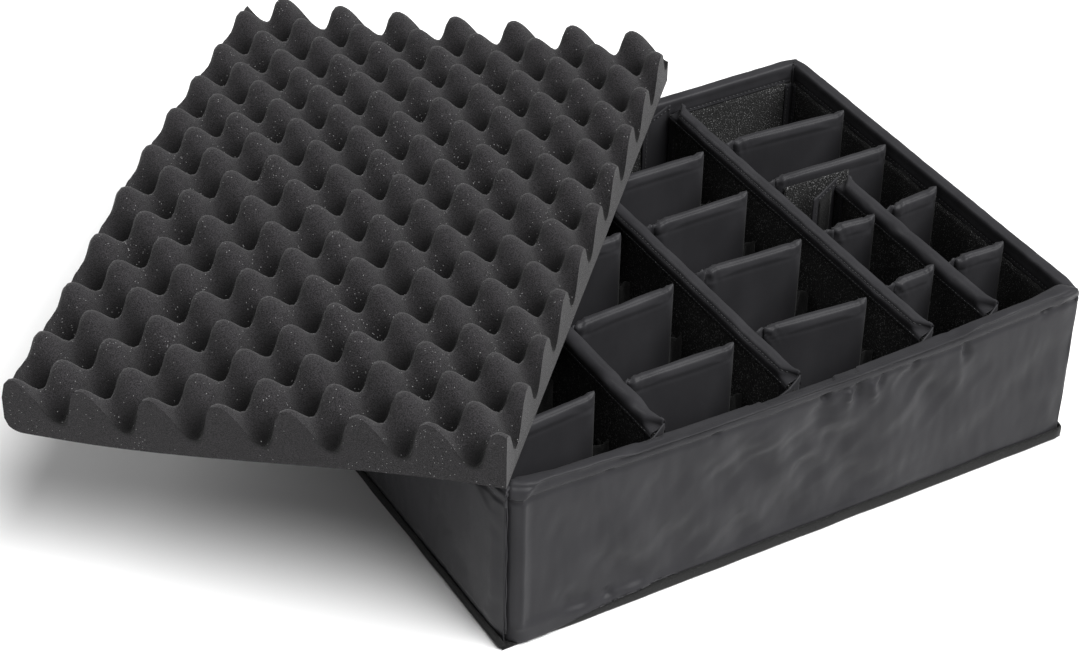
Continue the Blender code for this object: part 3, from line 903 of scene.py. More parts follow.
def makeWallCover(side, order):
    half = wallSides[side][2]
    length = 2 * half
    radius = tray["wall"] / 2
    outside = tray["rim"] - radius - tray["bottom"]
    feltTop = wallCloth["feltHeight"]
    tuck, cornerReach, cornerRoll = (wallCloth[name] for name in ("tuck", "cornerReach", "cornerRoll"))
    tuckSteps = numpy.array([0.0, tuck / 3, 2 * tuck / 3])
    broad = tuck + evenSteps(length - 2 * tuck, wallCloth["mesh"])
    alongs = numpy.concatenate([tuckSteps, broad, length - tuckSteps[::-1]])
    reaches = coverReaches()
    hem = tray["rim"] - wallCloth["hemDepth"] - tray["bottom"]
    grooveReach = reaches[numpy.abs(reaches - hem).argmin()]
    folds = wallFolds(side, order)

    def place(along, reach):
        base, height = coverSection(side, along, reach)
        depth = base
        middle = math.sin(math.pi * along / length)
        outer = 1.0 - smoothStep((base - radius) / radius)
        fromEnd = min(along, length - along)
        tucked = max(tuck - fromEnd, 0.0)
        inset = fromEnd * (half - base - 0.0002) / half + 0.0002
        if fromEnd < cornerReach:
            cornerDepth, slit, inwards, sideways = cornerShapes.get((side, bool(along < half)), otherCorners)
            share = max((fromEnd - tuck) / (cornerReach - tuck), 0.0)
            turned = slit + share * (cornerReach - slit)
            roll = max(1.0 - turned / cornerRoll, 0.0) / (1.0 - slit / cornerRoll)
            inset += (turned + sideways * tucked - inset) * outer
            depth += (cornerDepth * roll ** 1.25 + inwards * tucked) * outer
        if side == "front":
            lapped, height = frontLap(along, reach, height)
            depth -= lapped
        depth -= wallCloth["bow"][side] * middle * smoothStep((reach - feltTop) / 0.11) * outer
        return wallPlace(side, math.copysign(half - base - inset, along - half), depth, height)

    # Bends that are sharper than the settled cloth's: folds, hem groove, rim crease
    def foldAt(along, reach):
        height = tray["bottom"] + reach
        dent = uneven(wallCloth["grain"], along, reach, order * 7.0)
        dent += uneven(wallCloth["crumple"], along, reach, order * 3.0)
        belowHem = grooveReach + 0.004 - reach
        if belowHem > 0:
            dent *= 1.0 + 1.2 * smoothStep(height / 0.02) * smoothStep((grooveReach - reach) / 0.02)
            share = smoothStep(belowHem / 0.003) * smoothStep((height - feltTop) / 0.006)
            dent += wallCloth["foldDepth"] * share * foldsAt(folds, along, height)
        sway = uneven(wallCloth["sway"], along, order, 1.0)
        dent += groove(wallCloth["hemGroove"], reach - grooveReach - sway)
        dent += groove(wallCloth["rimCrease"], reach - outside - radius * 0.62 - sway)
        dent += groove(wallCloth["edgeGroove"], reach - reaches[-1])
        return -dent * smoothStep(min(along, length - along) / 0.006)

    def firmness(row, column):
        if reaches[row] < feltTop or reaches[row] == grooveReach or row >= len(reaches) - 2:
            return 1.0
        if fromSide(column, alongs) < 5:
            return 1.0
        return 0.6 if reaches[row] > outside else 0.0

    cover = clothGrid(side + "WallCover", alongs, reaches, place)
    block = makeWallBlock(side)
    settleCloth(cover, alongs, reaches, firmness, wallCloth, block)
    cover, alongs, reaches = folded(cover, alongs, reaches, foldAt)
    thicken(cover, wallCloth["thickness"])
    dress(cover, nylon, "tray", [side + "_wall_cover"])
    return cover, alongs, reaches


# The foam boards inside the walls, a little smaller than the room for them
def makeWallBoard(side):
    half, inset = wallSides[side][2] - tray["wall"], wallCloth["boardInset"]
    low = (-half, inset, wallCloth["boardFoot"])
    high = (half, tray["wall"] - 0.0016, tray["rim"] - wallCloth["boardDrop"])
    shape = slab(low, high, (30, 1, 10))
    for vert in shape.verts:
        vert.co = wallPlace(side, *vert.co)
    inner = finishedPiece(side + "WallBoard", shape)
    dress(inner, board, "tray", [side + "_wall_board"])


wallCovers = {}
for order, side in enumerate(wallSides):
    makeWallBoard(side)
    wallCovers[side] = makeWallCover(side, order)
    print(side, "wall cover sewn")


# Foam pad of the lid
foam = {
    "width": 0.3973,
    "length": 0.5917,
    "turn": math.radians(-43.7),
    "cornerInset": (0.003, 0.0028),
    "bottom": 0.1592,
    "peak": 0.0504,
    "valley": 0.016,
    "pitchAcross": 0.0545,
    "pitchAlong": 0.0615,
    "firstBump": 0.0092,
    "lean": 0.0095,  # the bumps lean to the pad's left
    "leftSag": 0.0267,
    "leftReach": 0.2515,
    "backSag": 0.0179,
    "backReach": 0.248,
    "roundness": 0.4,  # of the bumps' tops and hollows, beside plain waves
    "mesh": 0.003,
    "sideSteps": 4,
    # painted shade: the share of the hollows' painted shade that the pad's cut sides get
    "sideShade": 0.62,
    "cornerRound": 0.015,
    "cornerRun": 0.09,
    "cornerLift": 0.8,
}


def foamPlan(across, along):
    u, v = across - foam["width"], along  # from the corner that lies on the tray's
    c, s = math.cos(foam["turn"]), math.sin(foam["turn"])
    x = foam["cornerInset"][0] - tray["length"] / 2 + u * c - v * s
    return x, foam["cornerInset"][1] - tray["width"] / 2 + u * s + v * c


def foamSag(x, y):
    left = foam["leftSag"] * smoothStep((-tray["length"] / 2 - x) / foam["leftReach"])
    return left + foam["backSag"] * smoothStep((y - tray["width"] / 2) / foam["backReach"])


# Height of the foam's surface, from 0 in a hollow to 1 on a bump
def foamShare(across, along):
    source = across
    for _ in range(6):  # until the lean fits the height
        wave = math.cos(2 * math.pi * (source - foam["firstBump"]) / foam["pitchAcross"])
        wave *= math.cos(2 * math.pi * along / foam["pitchAlong"])
        rounded = foam["roundness"] * math.sin(wave * math.pi / 2)
        share = 0.5 + 0.5 * ((1.0 - foam["roundness"]) * wave + rounded)
        source = across - foam["lean"] * (1.0 - share)
    return share


def makeFoamPad():
    pad = bmesh.new()
    columns, rows = round(foam["width"] / foam["mesh"]), round(foam["length"] / foam["mesh"])
    bmesh.ops.create_grid(pad, x_segments=columns, y_segments=rows, size=0.5)
    bmesh.ops.scale(pad, vec=(foam["width"], foam["length"], 1.0), verts=pad.verts)
    bmesh.ops.translate(pad, vec=(foam["width"] / 2, foam["length"] / 2, 1.0), verts=pad.verts)
    grown = bmesh.ops.extrude_face_region(pad, geom=pad.faces[:])
    lower = [item for item in grown["geom"] if isinstance(item, bmesh.types.BMVert)]
    bmesh.ops.translate(pad, vec=(0.0, 0.0, -1.0), verts=lower)
    upright = [edge for edge in pad.edges if abs(edge.verts[0].co.z - edge.verts[1].co.z) > 0.5]
    bmesh.ops.subdivide_edges(pad, edges=upright, cuts=foam["sideSteps"] - 1)
    shares = pad.verts.layers.float.new("bumpShare")
    corner = foam["cornerRound"]
    for vert in pad.verts:
        across, along, share = vert.co
        x, y = foamPlan(across, along)
        bump = foamShare(across, along)
        # the stored share drives the painted shade of the foam material's hollows
        vert[shares] = foam["sideShade"] if share < 1.0 else bump
        height = foam["valley"] + (foam["peak"] - foam["valley"]) * bump
        edge = max(1.0 - across / corner, 0.0)
        lift = foam["cornerLift"] * corner * (1.0 - math.sqrt(1.0 - edge * edge))
        lift *= smoothStep(1.0 - along / foam["cornerRun"]) * (1.0 - share)
        vert.co = (x, y, foam["bottom"] + height * share + lift - foamSag(x, y))
    bmesh.ops.recalc_face_normals(pad, faces=pad.faces)
    return finishedPiece("lidFoam", pad)


lidFoam = makeFoamPad()
lidFoam.data.set_sharp_from_angle(angle=math.radians(50.0))
dress(lidFoam, foamRubber, "lid_pad", ["lid_foam_pad"])
print("foam pad cut")


# Linings of the walls, laid on thin and stitched along their top
def makeWallLining(side, cover, alongs, reaches):
    half = wallSides[side][2] - tray["wall"] - 0.0004
    low, high = tray["floor"] + 0.0003, tray["rim"] - wallCloth["facingDepth"] + 0.0008

    def place(along, reach):
        depth = tray["wall"] - 0.0002 + uneven(wallCloth["liningWave"], along, reach, len(side) * 2.0)
        return wallPlace(side, along - half, depth, low + reach)

    lining = clothSheet(side + "WallLining", (2 * half, high - low), wallCloth["liningMesh"], place)
    faceAway(lining, wallPlace(side, 0.0, 0.0, 0.08))
    thicken(lining, wallCloth["liningThickness"])
    dress(lining, loopFabric, "tray", [side + "_wall_lining"])
    stitches = bmesh.new()
    points, normals = rowOf(cover, alongs, len(reaches) - 4, 9)
    stitchRow(stitches, points, normals, 0.0004)
    dress(finishedPiece(side + "HemStitches", stitches), thread, "tray")


for side, cover in wallCovers.items():
    makeWallLining(side, *cover)
print("wall linings laid")


# Corner seams and the stitched bindings of the inside corners
seams = {
    "radius": 0.0009,
    "outside": 0.0044,  # how deep the seam lies in the corner's slit
    "inside": 0.0006,
    "bindingWidth": 0.0065,
    "bindingStand": 0.0006,
    "bindingWave": (0.0005, 90.0, 60.0),
    "bindingMesh": (0.0016, 0.004),
    "bindingThickness": 0.0005,
    "stitchRows": (0.16, 0.84),  # in shares of the binding's width
    "sway": 0.0003,
    "sides": 8,
}
corners = {
    "front_left": (-1, -1), "front_right": (1, -1), "back_right": (1, 1), "back_left": (-1, 1),
}


def camel(name):
    first, *others = name.split("_")
    return first + "".join(word.title() for word in others)


# Round cord along a line of points
def cordAlong(name, points, radius):
    aheads = [(far - near).normalized() for near, far in zip(points, points[1:])]
    aheads.append(aheads[-1])
    shape = bmesh.new()
    bmesh.ops.create_circle(shape, segments=seams["sides"], radius=radius)
    ring, edges = list(shape.verts), list(shape.edges)
    turn = aheads[0].to_track_quat("Z", "Y").to_matrix()
    bmesh.ops.rotate(shape, matrix=turn, verts=ring)
    bmesh.ops.translate(shape, vec=points[0], verts=ring)
    ends = [edges]
    for step in range(1, len(points)):
        grown = bmesh.ops.extrude_edge_only(shape, edges=edges)["geom"]
        edges = [item for item in grown if isinstance(item, bmesh.types.BMEdge)]
        ring = [item for item in grown if isinstance(item, bmesh.types.BMVert)]
        bmesh.ops.translate(shape, vec=points[step] - points[step - 1], verts=ring)
        bend = aheads[step - 1].rotation_difference(aheads[step]).to_matrix()
        bmesh.ops.rotate(shape, cent=points[step], matrix=bend, verts=ring)
    ends.append(edges)
    for rim in ends:
        bmesh.ops.contextual_create(shape, geom=rim)
    bmesh.ops.recalc_face_normals(shape, faces=shape.faces)
    return finishedPiece(name, shape)


def makeCornerSeam(name, sideX, sideY):
    radius = tray["wall"] / 2
    shoulder = tray["rim"] - radius
    foot = feltEdge["height"] + 0.001
    section = [(0.0, foot + (shoulder - foot) * step / 14) for step in range(14)]
    for step in range(15):
        angle = math.pi * (1 - step / 14)
        section.append((radius + radius * math.cos(angle), shoulder + (radius - 0.0006) * math.sin(angle)))
    section += [(2 * radius, shoulder - (shoulder - tray["floor"]) * step / 12) for step in range(1, 12)]
    points = []
    for order, (depth, height) in enumerate(section):
        share = depth / (2 * radius)
        inset = depth + seams["outside"] * (1 - share) + seams["inside"] * share
        sway = seams["sway"] * math.sin(order * 1.7 + sideX + 2 * sideY)
        x, y = tray["length"] / 2 - inset + sway, tray["width"] / 2 - inset - sway
        points.append(Vector((sideX * x, sideY * y, height)))
    seam = cordAlong(camel(name) + "Seam", points, seams["radius"])
    dress(seam, nylon, "tray", [name + "_corner_seam"])


# Strip folded into an inside corner, with a row of stitches on each half
def makeCornerBinding(name, sideX, sideY):
    half = seams["bindingWidth"]
    low, high = tray["floor"] + 0.001, tray["rim"] - wallCloth["facingDepth"] - 0.001
    innerX = tray["length"] / 2 - tray["wall"] - 0.0006
    innerY = tray["width"] / 2 - tray["wall"] - 0.0006

    def place(across, up):
        turn = across - half
        wave = uneven(seams["bindingWave"], across, up, sideX + sideY * 3.0)
        stand = seams["bindingStand"] * (0.4 + 0.6 * min(abs(turn) / 0.002, 1.0)) + wave
        x, y = innerX + min(turn, 0.0) - stand, innerY - max(turn, 0.0) - stand
        return Vector((sideX * x, sideY * y, low + up))

    binding = clothSheet(camel(name) + "Binding", (2 * half, high - low), seams["bindingMesh"], place)
    faceAway(binding, Vector((sideX * innerX * 1.1, sideY * innerY * 1.1, 0.08)))
    thicken(binding, seams["bindingThickness"])
    dress(binding, nylon, "tray")
    stitches = bmesh.new()
    for share in seams["stitchRows"]:
        across = share * 2 * half
        normal = Vector((0.0, -sideY, 0.0)) if share < 0.5 else Vector((-sideX, 0.0, 0.0))
        points = [place(across, (high - low) * step / 20) for step in range(21)]
        stitchRow(stitches, points, [normal] * 21, 0.0002)
    dress(finishedPiece(camel(name) + "BindingStitches", stitches), thread, "tray")


# Boards inside the floor and the dividers, clear of their covers' ends
def makeInnerBoard(node, body, inset, cuts):
    low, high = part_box(node)
    inset = Vector(inset)
    inner = finishedPiece(camel(node), slab(Vector(low) + inset, Vector(high) - inset, cuts))
    dress(inner, board, body, [node])
    return inner


# Felt under the tray and round its bottom edge
feltEdge = {
    "height": 0.0112,
    "cornerRadius": 0.004,
    "mesh": 0.005,
    "edgeWidth": 0.036,  # of the strip laid flat
    "edgeWave": (0.0005, 40.0, 40.0),
    "topWave": (0.001, 18.0, 18.0),
    "soleThickness": 0.0014,
    "soleWave": (0.0002, 30.0, 30.0),
    "section": (  # outwards and up, from under the tray round the edge to its top
        (-0.012, 0.0006), (-0.0005, 0.0), (0.0013, 0.0008), (0.0017, 0.003), (0.0017, 0.0085),
        (0.0012, 0.0109), (0.0003, 0.0112), (0.0001, 0.0085), (0.0001, 0.0022),
    ),
}

for name, (sideX, sideY) in corners.items():
    makeCornerSeam(name, sideX, sideY)
    makeCornerBinding(name, sideX, sideY)
print("corners bound")


# Point and outward direction at a distance along a rounded rectangle
def roundedPath(halfX, halfY, radius, reach):
    longRun, shortRun = 2 * (halfX - radius), 2 * (halfY - radius)
    sides = (
        (longRun, (-halfX + radius, -halfY), (1, 0)), (shortRun, (halfX, -halfY + radius), (0, 1)),
        (longRun, (halfX - radius, halfY), (-1, 0)), (shortRun, (-halfX, halfY - radius), (0, -1)),
    )
    bend = radius * math.pi / 2
    for run, start, ahead in sides:
        outward = Vector((ahead[1], -ahead[0]))
        if reach <= run:
            return Vector(start) + Vector(ahead) * reach, outward
        reach -= run
        if reach <= bend:
            turn = Matrix.Rotation(reach / radius, 2)
            centre = Vector(start) + Vector(ahead) * run - outward * radius
            return centre + turn @ outward * radius, turn @ outward
        reach -= bend
    return Vector(sides[0][1]), Vector((0, -1))


def makeFeltEdge():
    halfX, halfY = tray["length"] / 2 + 0.0003, tray["width"] / 2 + 0.0003
    radius = feltEdge["cornerRadius"]
    around = 4 * (halfX + halfY) - 8 * radius + 2 * math.pi * radius
    section = feltEdge["section"]

    def place(along, step):
        point, outward = roundedPath(halfX, halfY, radius, min(along, around - 1e-6))
        out, height = section[int(step)]
        wave = uneven(feltEdge["edgeWave"], point.x, point.y, step * 0.3) if out > 0.001 else 0.0
        lift = uneven(feltEdge["topWave"], point.x, point.y, 3.0) if height > 0.009 else 0.0
        lapped = smoothStep((0.06 - halfX - point.x) / 0.04) if outward.y < -0.9 else 0.0
        out, height = out - (out + 0.0012) * 0.95 * lapped, height * (1.0 - 0.8 * lapped)
        return Vector((*(point + outward * (out + wave)), height + lift))

    band = clothGrid("feltEdge", evenSteps(around, feltEdge["mesh"]), range(len(section)), place)
    weld = bmesh.new()
    weld.from_mesh(band.data)
    bmesh.ops.remove_doubles(weld, verts=weld.verts, dist=0.00002)
    bmesh.ops.recalc_face_normals(weld, faces=weld.faces)
    weld.to_mesh(band.data)
    weld.free()
    dress(band, felt, "tray", ["felt_sole"])

    def flat(along, reach):
        wave = uneven(feltEdge["soleWave"], along, reach, 0.0)
        return Vector((along - halfX, reach - halfY, 0.0005 + wave))

    sole = clothSheet("feltSole", (2 * halfX, 2 * halfY), floorCloth["mesh"], flat)
    faceAway(sole, Vector((0.0, 0.0, 0.01)))
    thicken(sole, feltEdge["soleThickness"])
    dress(sole, felt, "tray")


floorCloth = {
    "mesh": (0.008, 0.008),
    "thickness": 0.0011,
    "wave": (0.0003, 40.0, 40.0),
    "boardInset": (0.008, 0.008, 0.0001),
}


def makeFloorLining():
    halfX, halfY = tray["length"] / 2 - tray["wall"] + 0.001, tray["width"] / 2 - tray["wall"] + 0.001

    def flat(along, reach):
        wave = uneven(floorCloth["wave"], along, reach, 2.0)
        return Vector((along - halfX, reach - halfY, tray["floor"] - 0.0002 + wave))

    lining = clothSheet("floorLining", (2 * halfX, 2 * halfY), floorCloth["mesh"], flat)
    faceAway(lining, Vector((0.0, 0.0, 0.0)))
    thicken(lining, floorCloth["thickness"])
    dress(lining, loopFabric, "tray", ["floor_lining"])
    baseBoard = makeInnerBoard("base_board", "tray", floorCloth["boardInset"], (30, 22, 1))


makeFeltEdge()
makeFloorLining()
print("felt and floor laid")


# Long dividers and the short one: facing, sleeve, end bindings
divider = {
    "half": 0.006,
    "facingDepth": 0.0135,
    "sleeveHalf": 0.0052,
    "mesh": 0.0032,
    "sectionMesh": 0.0022,
    "crownPower": 0.95,
    "crownWidening": 0.0005,
    "crownWidth": 0.008,
    "crownSeam": (0.0035, 0.0008, 0.0012),
    "hemRidge": (0.0012, -0.0007, 0.0011),
    "hemGroove": (0.0036, 0.0005, 0.001),
    "grain": (0.0002, 60.0, 60.0),
    "crumple": (0.0003, 22.0, 3.0),
    "thickness": 0.0008,
    "growth": 0.012,
    "pressure": 1.0,
    "bending": 0.12,
    "moveCap": 0.0008,
    "endTaper": 0.013,
    "endInwards": (0.0028, 0.9, 0.12),  # the shut end's step inwards, and how narrow its two steps are
    "tabRoom": 0.002,  # the back tab folds up past the facing's end
    "boardInset": (0.0002, 0.016, 0.0015),
    "sleeveMesh": 0.006,
    "sleeveSwell": 0.0004,
    "bindingWidth": 0.011,
    "bindingHigh": 0.0007,
    "bindingRidge": (0.0, 0.0005, 0.0012),
    "bindingWave": (0.0003, 200.0, 50.0),
    "bindingMesh": (0.0014, 0.004),
    "bindingThickness": 0.0005,
    "stitchRows": (0.2, 0.8),  # in shares of the binding's width
    "stitchLift": 0.0003,
}
# Whether the crown is stitched, and the crown's dents: distance from the front, width, depth
dividerBodies = {
    "long_divider_1": (False, ((0.026, 0.008, 0.0026), (0.063, 0.007, 0.0017), (0.148, 0.011, 0.0012))),
    "long_divider_2": (True, ((0.07, 0.012, 0.0007), (0.21, 0.014, 0.0008))),
    "long_divider_3": (True, ((0.055, 0.012, 0.0005), (0.29, 0.008, 0.0007), (0.335, 0.006, 0.0009))),
    "short_divider": (False, ((0.05, 0.01, 0.0007), (0.12, 0.008, 0.0008))),
}


def crownSection(reach, half, straight):
    if reach < straight:
        return -half, reach
    turn = (reach - straight) / half
    if turn < math.pi:
        power = divider["crownPower"]
        return -half * squared(math.cos(turn), power), straight + half * squared(math.sin(turn), power)
    return half, straight - (reach - straight - math.pi * half)


def makeFacing(body, order):
    lowBox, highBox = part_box(body + "_facing")
    x = (lowBox[0] + highBox[0]) / 2
    front, back = lowBox[1], highBox[1]
    length = back - (divider["tabRoom"] if body.startswith("long") else 0.0) - front
    half = divider["half"] + divider["crownWidening"]
    straight = divider["facingDepth"] - divider["half"]
    section = 2 * straight + math.pi * half
    low = tray["dividerTop"] - divider["facingDepth"]
    alongs, reaches = evenSteps(length, divider["mesh"]), evenSteps(section, divider["sectionMesh"])
    crownStitched, dents = dividerBodies[body]

    # Both ends taper to a point over the crown's right side
    def place(along, reach):
        across, up = crownSection(section - reach, half, straight)
        fromEnd = min(along, length - along)
        closing = max(1.0 - fromEnd / divider["endTaper"], 0.0)
        crown = smoothStep((up - straight * 0.5) / 0.005)
        up += closing * crown * (0.001 * across / half - 0.0008)
        across += closing * crown * (half - across) * 0.85
        return Vector((x + across, front + along, low + up))

    def foldAt(along, reach):
        crown = bell(reach - section / 2, divider["crownWidth"])
        dent = uneven(divider["grain"], along, reach, order * 4.0)
        dent += crown * uneven(divider["crumple"], along, 1.0, order * 2.0)
        for start, width, depth in dents:
            skew = along - start - (reach - section / 2) * 0.6
            dent += crown * depth * (bell(skew, width) - 0.25 * bell(skew - 1.7 * width, width))
        edge = min(reach, section - reach)
        dent += groove(divider["hemRidge"], edge) + groove(divider["hemGroove"], edge)
        if crownStitched:
            dent += groove(divider["crownSeam"], section - reach - straight)
        return -dent

    def firmness(row, column):
        return 1.0 if fromSide(row, reaches) < 2 or fromSide(column, alongs) < 4 else 0.0

    facing = clothGrid(camel(body) + "Facing", alongs, reaches, place)
    settleCloth(facing, alongs, reaches, firmness, divider)
    facing, alongs, reaches = folded(facing, alongs, reaches, foldAt)
    stitches = bmesh.new()
    rows = [2, len(reaches) - 3]
    if crownStitched:
        rows.append(int(numpy.abs(section - reaches - straight - divider["crownSeam"][0]).argmin()))
    for row in rows:
        stitchRow(stitches, *rowOf(facing, alongs, row, 5), divider["stitchLift"])
    dress(finishedPiece(camel(body) + "Stitches", stitches), thread, body)
    closeEnds(facing)
    thicken(facing, divider["thickness"])
    dress(facing, nylon, body, [body + "_facing"])
    return x, front, back


# Folds the cloth's open ends shut behind the crown
def closeEnds(item):
    inwards, *widths = divider["endInwards"]
    shape = bmesh.new()
    shape.from_mesh(item.data)
    rim = [edge for edge in shape.edges if edge.is_boundary]
    front, back = min(vert.co.y for vert in shape.verts), max(vert.co.y for vert in shape.verts)
    for end, step in ((front, inwards), (back, -inwards)):
        edges = [edge for edge in rim if all(abs(vert.co.y - end) < 0.0012 for vert in edge.verts)]
        for width in widths:
            grown = bmesh.ops.extrude_edge_only(shape, edges=edges)["geom"]
            edges = [item for item in grown if isinstance(item, bmesh.types.BMEdge)]
            moved = [item for item in grown if isinstance(item, bmesh.types.BMVert)]
            tip = max(vert.co.x for vert in moved) - 0.0012
            for vert in moved:
                vert.co = (tip + (vert.co.x - tip) * width, vert.co.y + step, vert.co.z - 0.0008)
    shape.to_mesh(item.data)
    shape.free()


def makeSleeve(body, x, front, back, order):
    makeInnerBoard(body + "_board", body, divider["boardInset"], (1, 30, 10))
    half = divider["sleeveHalf"]
    top = tray["dividerTop"] - divider["facingDepth"] + 0.003
    cuts = (2, round((back - front) / divider["sleeveMesh"]), 20)
    shape = slab((x - half, front, tray["dividerBottom"]), (x + half, back, top), cuts, (0.5, 1.0, 1.0))
    for vert in shape.verts:
        spot = Vector((vert.co.x * 40.0 + order, vert.co.y * 16.0, vert.co.z * 16.0))
        fromEnd = min(vert.co.y - front, back - vert.co.y)
        if abs(vert.co.x - x) > half * 0.6:
            swell = divider["sleeveSwell"] * noise.noise(spot) * smoothStep(fromEnd / 0.02)
            vert.co.x += math.copysign(swell, vert.co.x - x)
    sleeve = finishedPiece(camel(body) + "Sleeve", shape)
    sleeve.data.set_sharp_from_angle(angle=math.radians(60.0))
    dress(sleeve, loopFabric, body, [body + "_sleeve"])


# Upright nylon strip over a sleeve's end, on one side of it
def makeEndBinding(body, x, end, ahead, side, stitches):
    width = divider["bindingWidth"]
    low = tray["dividerBottom"] + 0.001
    high = tray["dividerTop"] - divider["facingDepth"] + 0.0005
    stand = divider["sleeveHalf"] + divider["bindingHigh"]

    def place(along, up):
        ridge = groove(divider["bindingRidge"], along - width * 0.5)
        wave = uneven(divider["bindingWave"], along, up, end * 9.0)
        return Vector((x + side * (stand + ridge + wave), end + ahead * (along + 0.0004), low + up))

    name = camel(body) + ("Front" if ahead > 0 else "Back") + ("Right" if side > 0 else "Left") + "Binding"
    binding = clothSheet(name, (width, high - low), divider["bindingMesh"], place)
    faceAway(binding, Vector((x, end, 0.08)))
    thicken(binding, divider["bindingThickness"])
    dress(binding, nylon, body)
    for share in divider["stitchRows"]:
        points = [place(width * share, (high - low) * step / 16) for step in range(17)]
        stitchRow(stitches, points, [Vector((side, 0.0, 0.0))] * 17, divider["stitchLift"])


def bindEnds(body, x, front, back):
    stitches = bmesh.new()
    for end, ahead in ((front, 1), (back, -1)):
        for side in (-1, 1):
            makeEndBinding(body, x, end, ahead, side, stitches)
    dress(finishedPiece(camel(body) + "BindingStitches", stitches), thread, body)


# Hook tabs at the dividers' ends
tab = {
    "length": 0.027,
    "topDrop": 0.0125,
    "bottomMargin": 0.004,
    "topMargin": 0.0012,
    "hinge": 0.0015,
    "bead": 0.0011,
    "frontGap": 0.0075,
    "backGap": 0.004,
    "frontLead": 0.013,
    "backLead": 0.0023,
    "openAngle": math.radians(190.0),
    "hem": 0.0062,
    "hemHeight": 0.0004,
    "stitchInset": 0.0034,
    "stitchGroove": (0.0, 0.0005, 0.0008),
    "stitchLift": 0.0007,
    "wave": (0.0007, 90.0, 35.0),
    "mesh": (0.0014, 0.0024),
    "thickness": 0.0011,
    "hookShare": 0.75,  # of the tab's length
    "hookStand": 0.0009,
    "hookMesh": (0.002, 0.004),
    "hookThickness": 0.0005,
}


# Points of the tab's plan from its hinge
def tabWay(kind):
    if kind == "open":
        ahead = Vector((math.cos(tab["openAngle"]), math.sin(tab["openAngle"])))
        return [Vector((0.0, 0.0)), ahead * tab["length"]]
    gap, lead, side = tab["frontGap"], tab["frontLead"], -1
    if kind == "back":
        gap, lead, side = tab["backGap"], tab["backLead"], 1
    depth = side * (gap - tab["hinge"] - 0.0012)
    return [Vector((0.0, 0.0)), Vector((-lead, depth)), Vector((-tab["length"], depth))]


def runsOf(points):
    return [(far - near).length for near, far in zip(points, points[1:])]


def alongWay(points, share):
    runs = runsOf(points)
    reach = share * sum(runs)
    for near, far, run in zip(points, points[1:], runs):
        if reach <= run or far is points[-1]:
            return near.lerp(far, reach / run)
        reach -= run


def makeTab(body, end, kind, x, edge):
    name = f"{body}_{end}_tab"
    side = 1 if end == "front" else -1
    hinge = Vector((x + side * (divider["sleeveHalf"] - tab["bead"]), edge - side * tab["hinge"]))
    way = tabWay(kind)
    total = sum(runsOf(way))
    low, high = tray["dividerBottom"] + tab["bottomMargin"], tray["dividerTop"] - tab["topMargin"]
    toDivider = side if kind != "open" else -side

    def place(along, up, lift=0.0):
        share = along / total
        point = alongWay(way, share)
        ahead = alongWay(way, min(share + 0.02, 1.0)) - alongWay(way, max(share - 0.02, 0.0))
        top = high - tab["topDrop"] * share
        height = low + (top - low) * up / (high - low)
        fromEdge = min(total - along, height - low, top - height)
        hem = tab["hemHeight"] * smoothStep((tab["hem"] - fromEdge) / 0.001)
        hem -= groove(tab["stitchGroove"], fromEdge - tab["stitchInset"])
        wave = uneven(tab["wave"], along, height, x * 30.0)
        out = Vector((-ahead.y, ahead.x)).normalized() * side * (hem + wave + lift)
        return Vector((*(hinge + point + out), height))

    flap = clothSheet(camel(name), (total, high - low), tab["mesh"], place)
    thicken(flap, tab["thickness"], 0.0)
    dress(flap, nylon, name, [name])
    stitches = bmesh.new()
    ahead = way[-1] - way[-2]
    height = high - low
    inset = tab["stitchInset"]
    top = [place(total * step / 16, height - inset) for step in range(1, 15)]
    outer = [place(total - inset, height * step / 20) for step in range(1, 20)]
    for sign in (-1, 1):
        normal = Vector((-ahead.y, ahead.x, 0.0)).normalized() * sign
        stitchRow(stitches, top, [normal] * len(top), tab["stitchLift"])
        stitchRow(stitches, outer, [normal] * len(outer), tab["stitchLift"])
    dress(finishedPiece(camel(name) + "Stitches", stitches), thread, name)

    # The hook strip inside the hems, on the face that grips the lining
    def hookPlace(along, up):
        start = (1.0 - tab["hookShare"]) * total
        return place(along + start, up + tab["hem"], toDivider * side * tab["hookStand"])

    hookWidth, hookHeight = tab["hookShare"] * total - tab["hem"], height - 2 * tab["hem"]
    hook = clothSheet(camel(name) + "Hook", (hookWidth, hookHeight), tab["hookMesh"], hookPlace)
    thicken(hook, tab["hookThickness"], 0.0)
    dress(hook, felt, name)


for order, body in enumerate(dividerBodies):
    x, front, back = makeFacing(body, order)
    makeSleeve(body, x, front, back, order)
    bindEnds(body, x, front, back)
    makeTab(body, "front", "front", x, front)
    makeTab(body, "back", "open" if body == "short_divider" else "back", x, back)
    print(body, "sewn")


# Cross dividers: padded slabs with a gusset at the left and a pinch at the right
cross = {
    "half": 0.0046,
    "topDrop": 0.003,
    "leftGap": {"1": 0.0035, "2": 0.0035, "3": 0.009, "4": 0.009},
    "rightGap": {"1": 0.017, "2": 0.013, "3": 0.014},
    "shortRightGap": 0.003,
    "tabDrop": 0.005,
    "hookDrop": 0.055,
    "foot": 0.018,
    "mesh": 0.0042,
    "growth": 0.022,
    "pressure": 1.4,
    "bending": 0.15,
    "moveCap": 0.0011,
    "patchedCapShare": 0.3,  # under the loop patch the cloth moves less
    "heldFoot": 0.012,
    "topBand": 0.012,  # of finer mesh
    "topMesh": 0.002,
    "ear": (0.0, 0.0016, 0.0055),
    "droop": (0.0, 0.003, 0.007),
    "flatEnd": 0.35,
    "crumple": (0.0006, 42.0, 9.0),
    "crownSeam": (0.0, 0.0006, 0.0011),
    "crownGroove": (-0.0065, 0.0004, 0.002),
    "pinch": (0.0065, 0.0009, 0.0016),
    "flapFoot": 0.004,
    "flapWave": (0.0042, 170.0, 34.0),
    "flapRuffle": (0.004, 230.0, 3.3),
    "flapSag": 0.01,
    "flapMesh": (0.0018, 0.0036),
    "flapThickness": 0.0011,
}
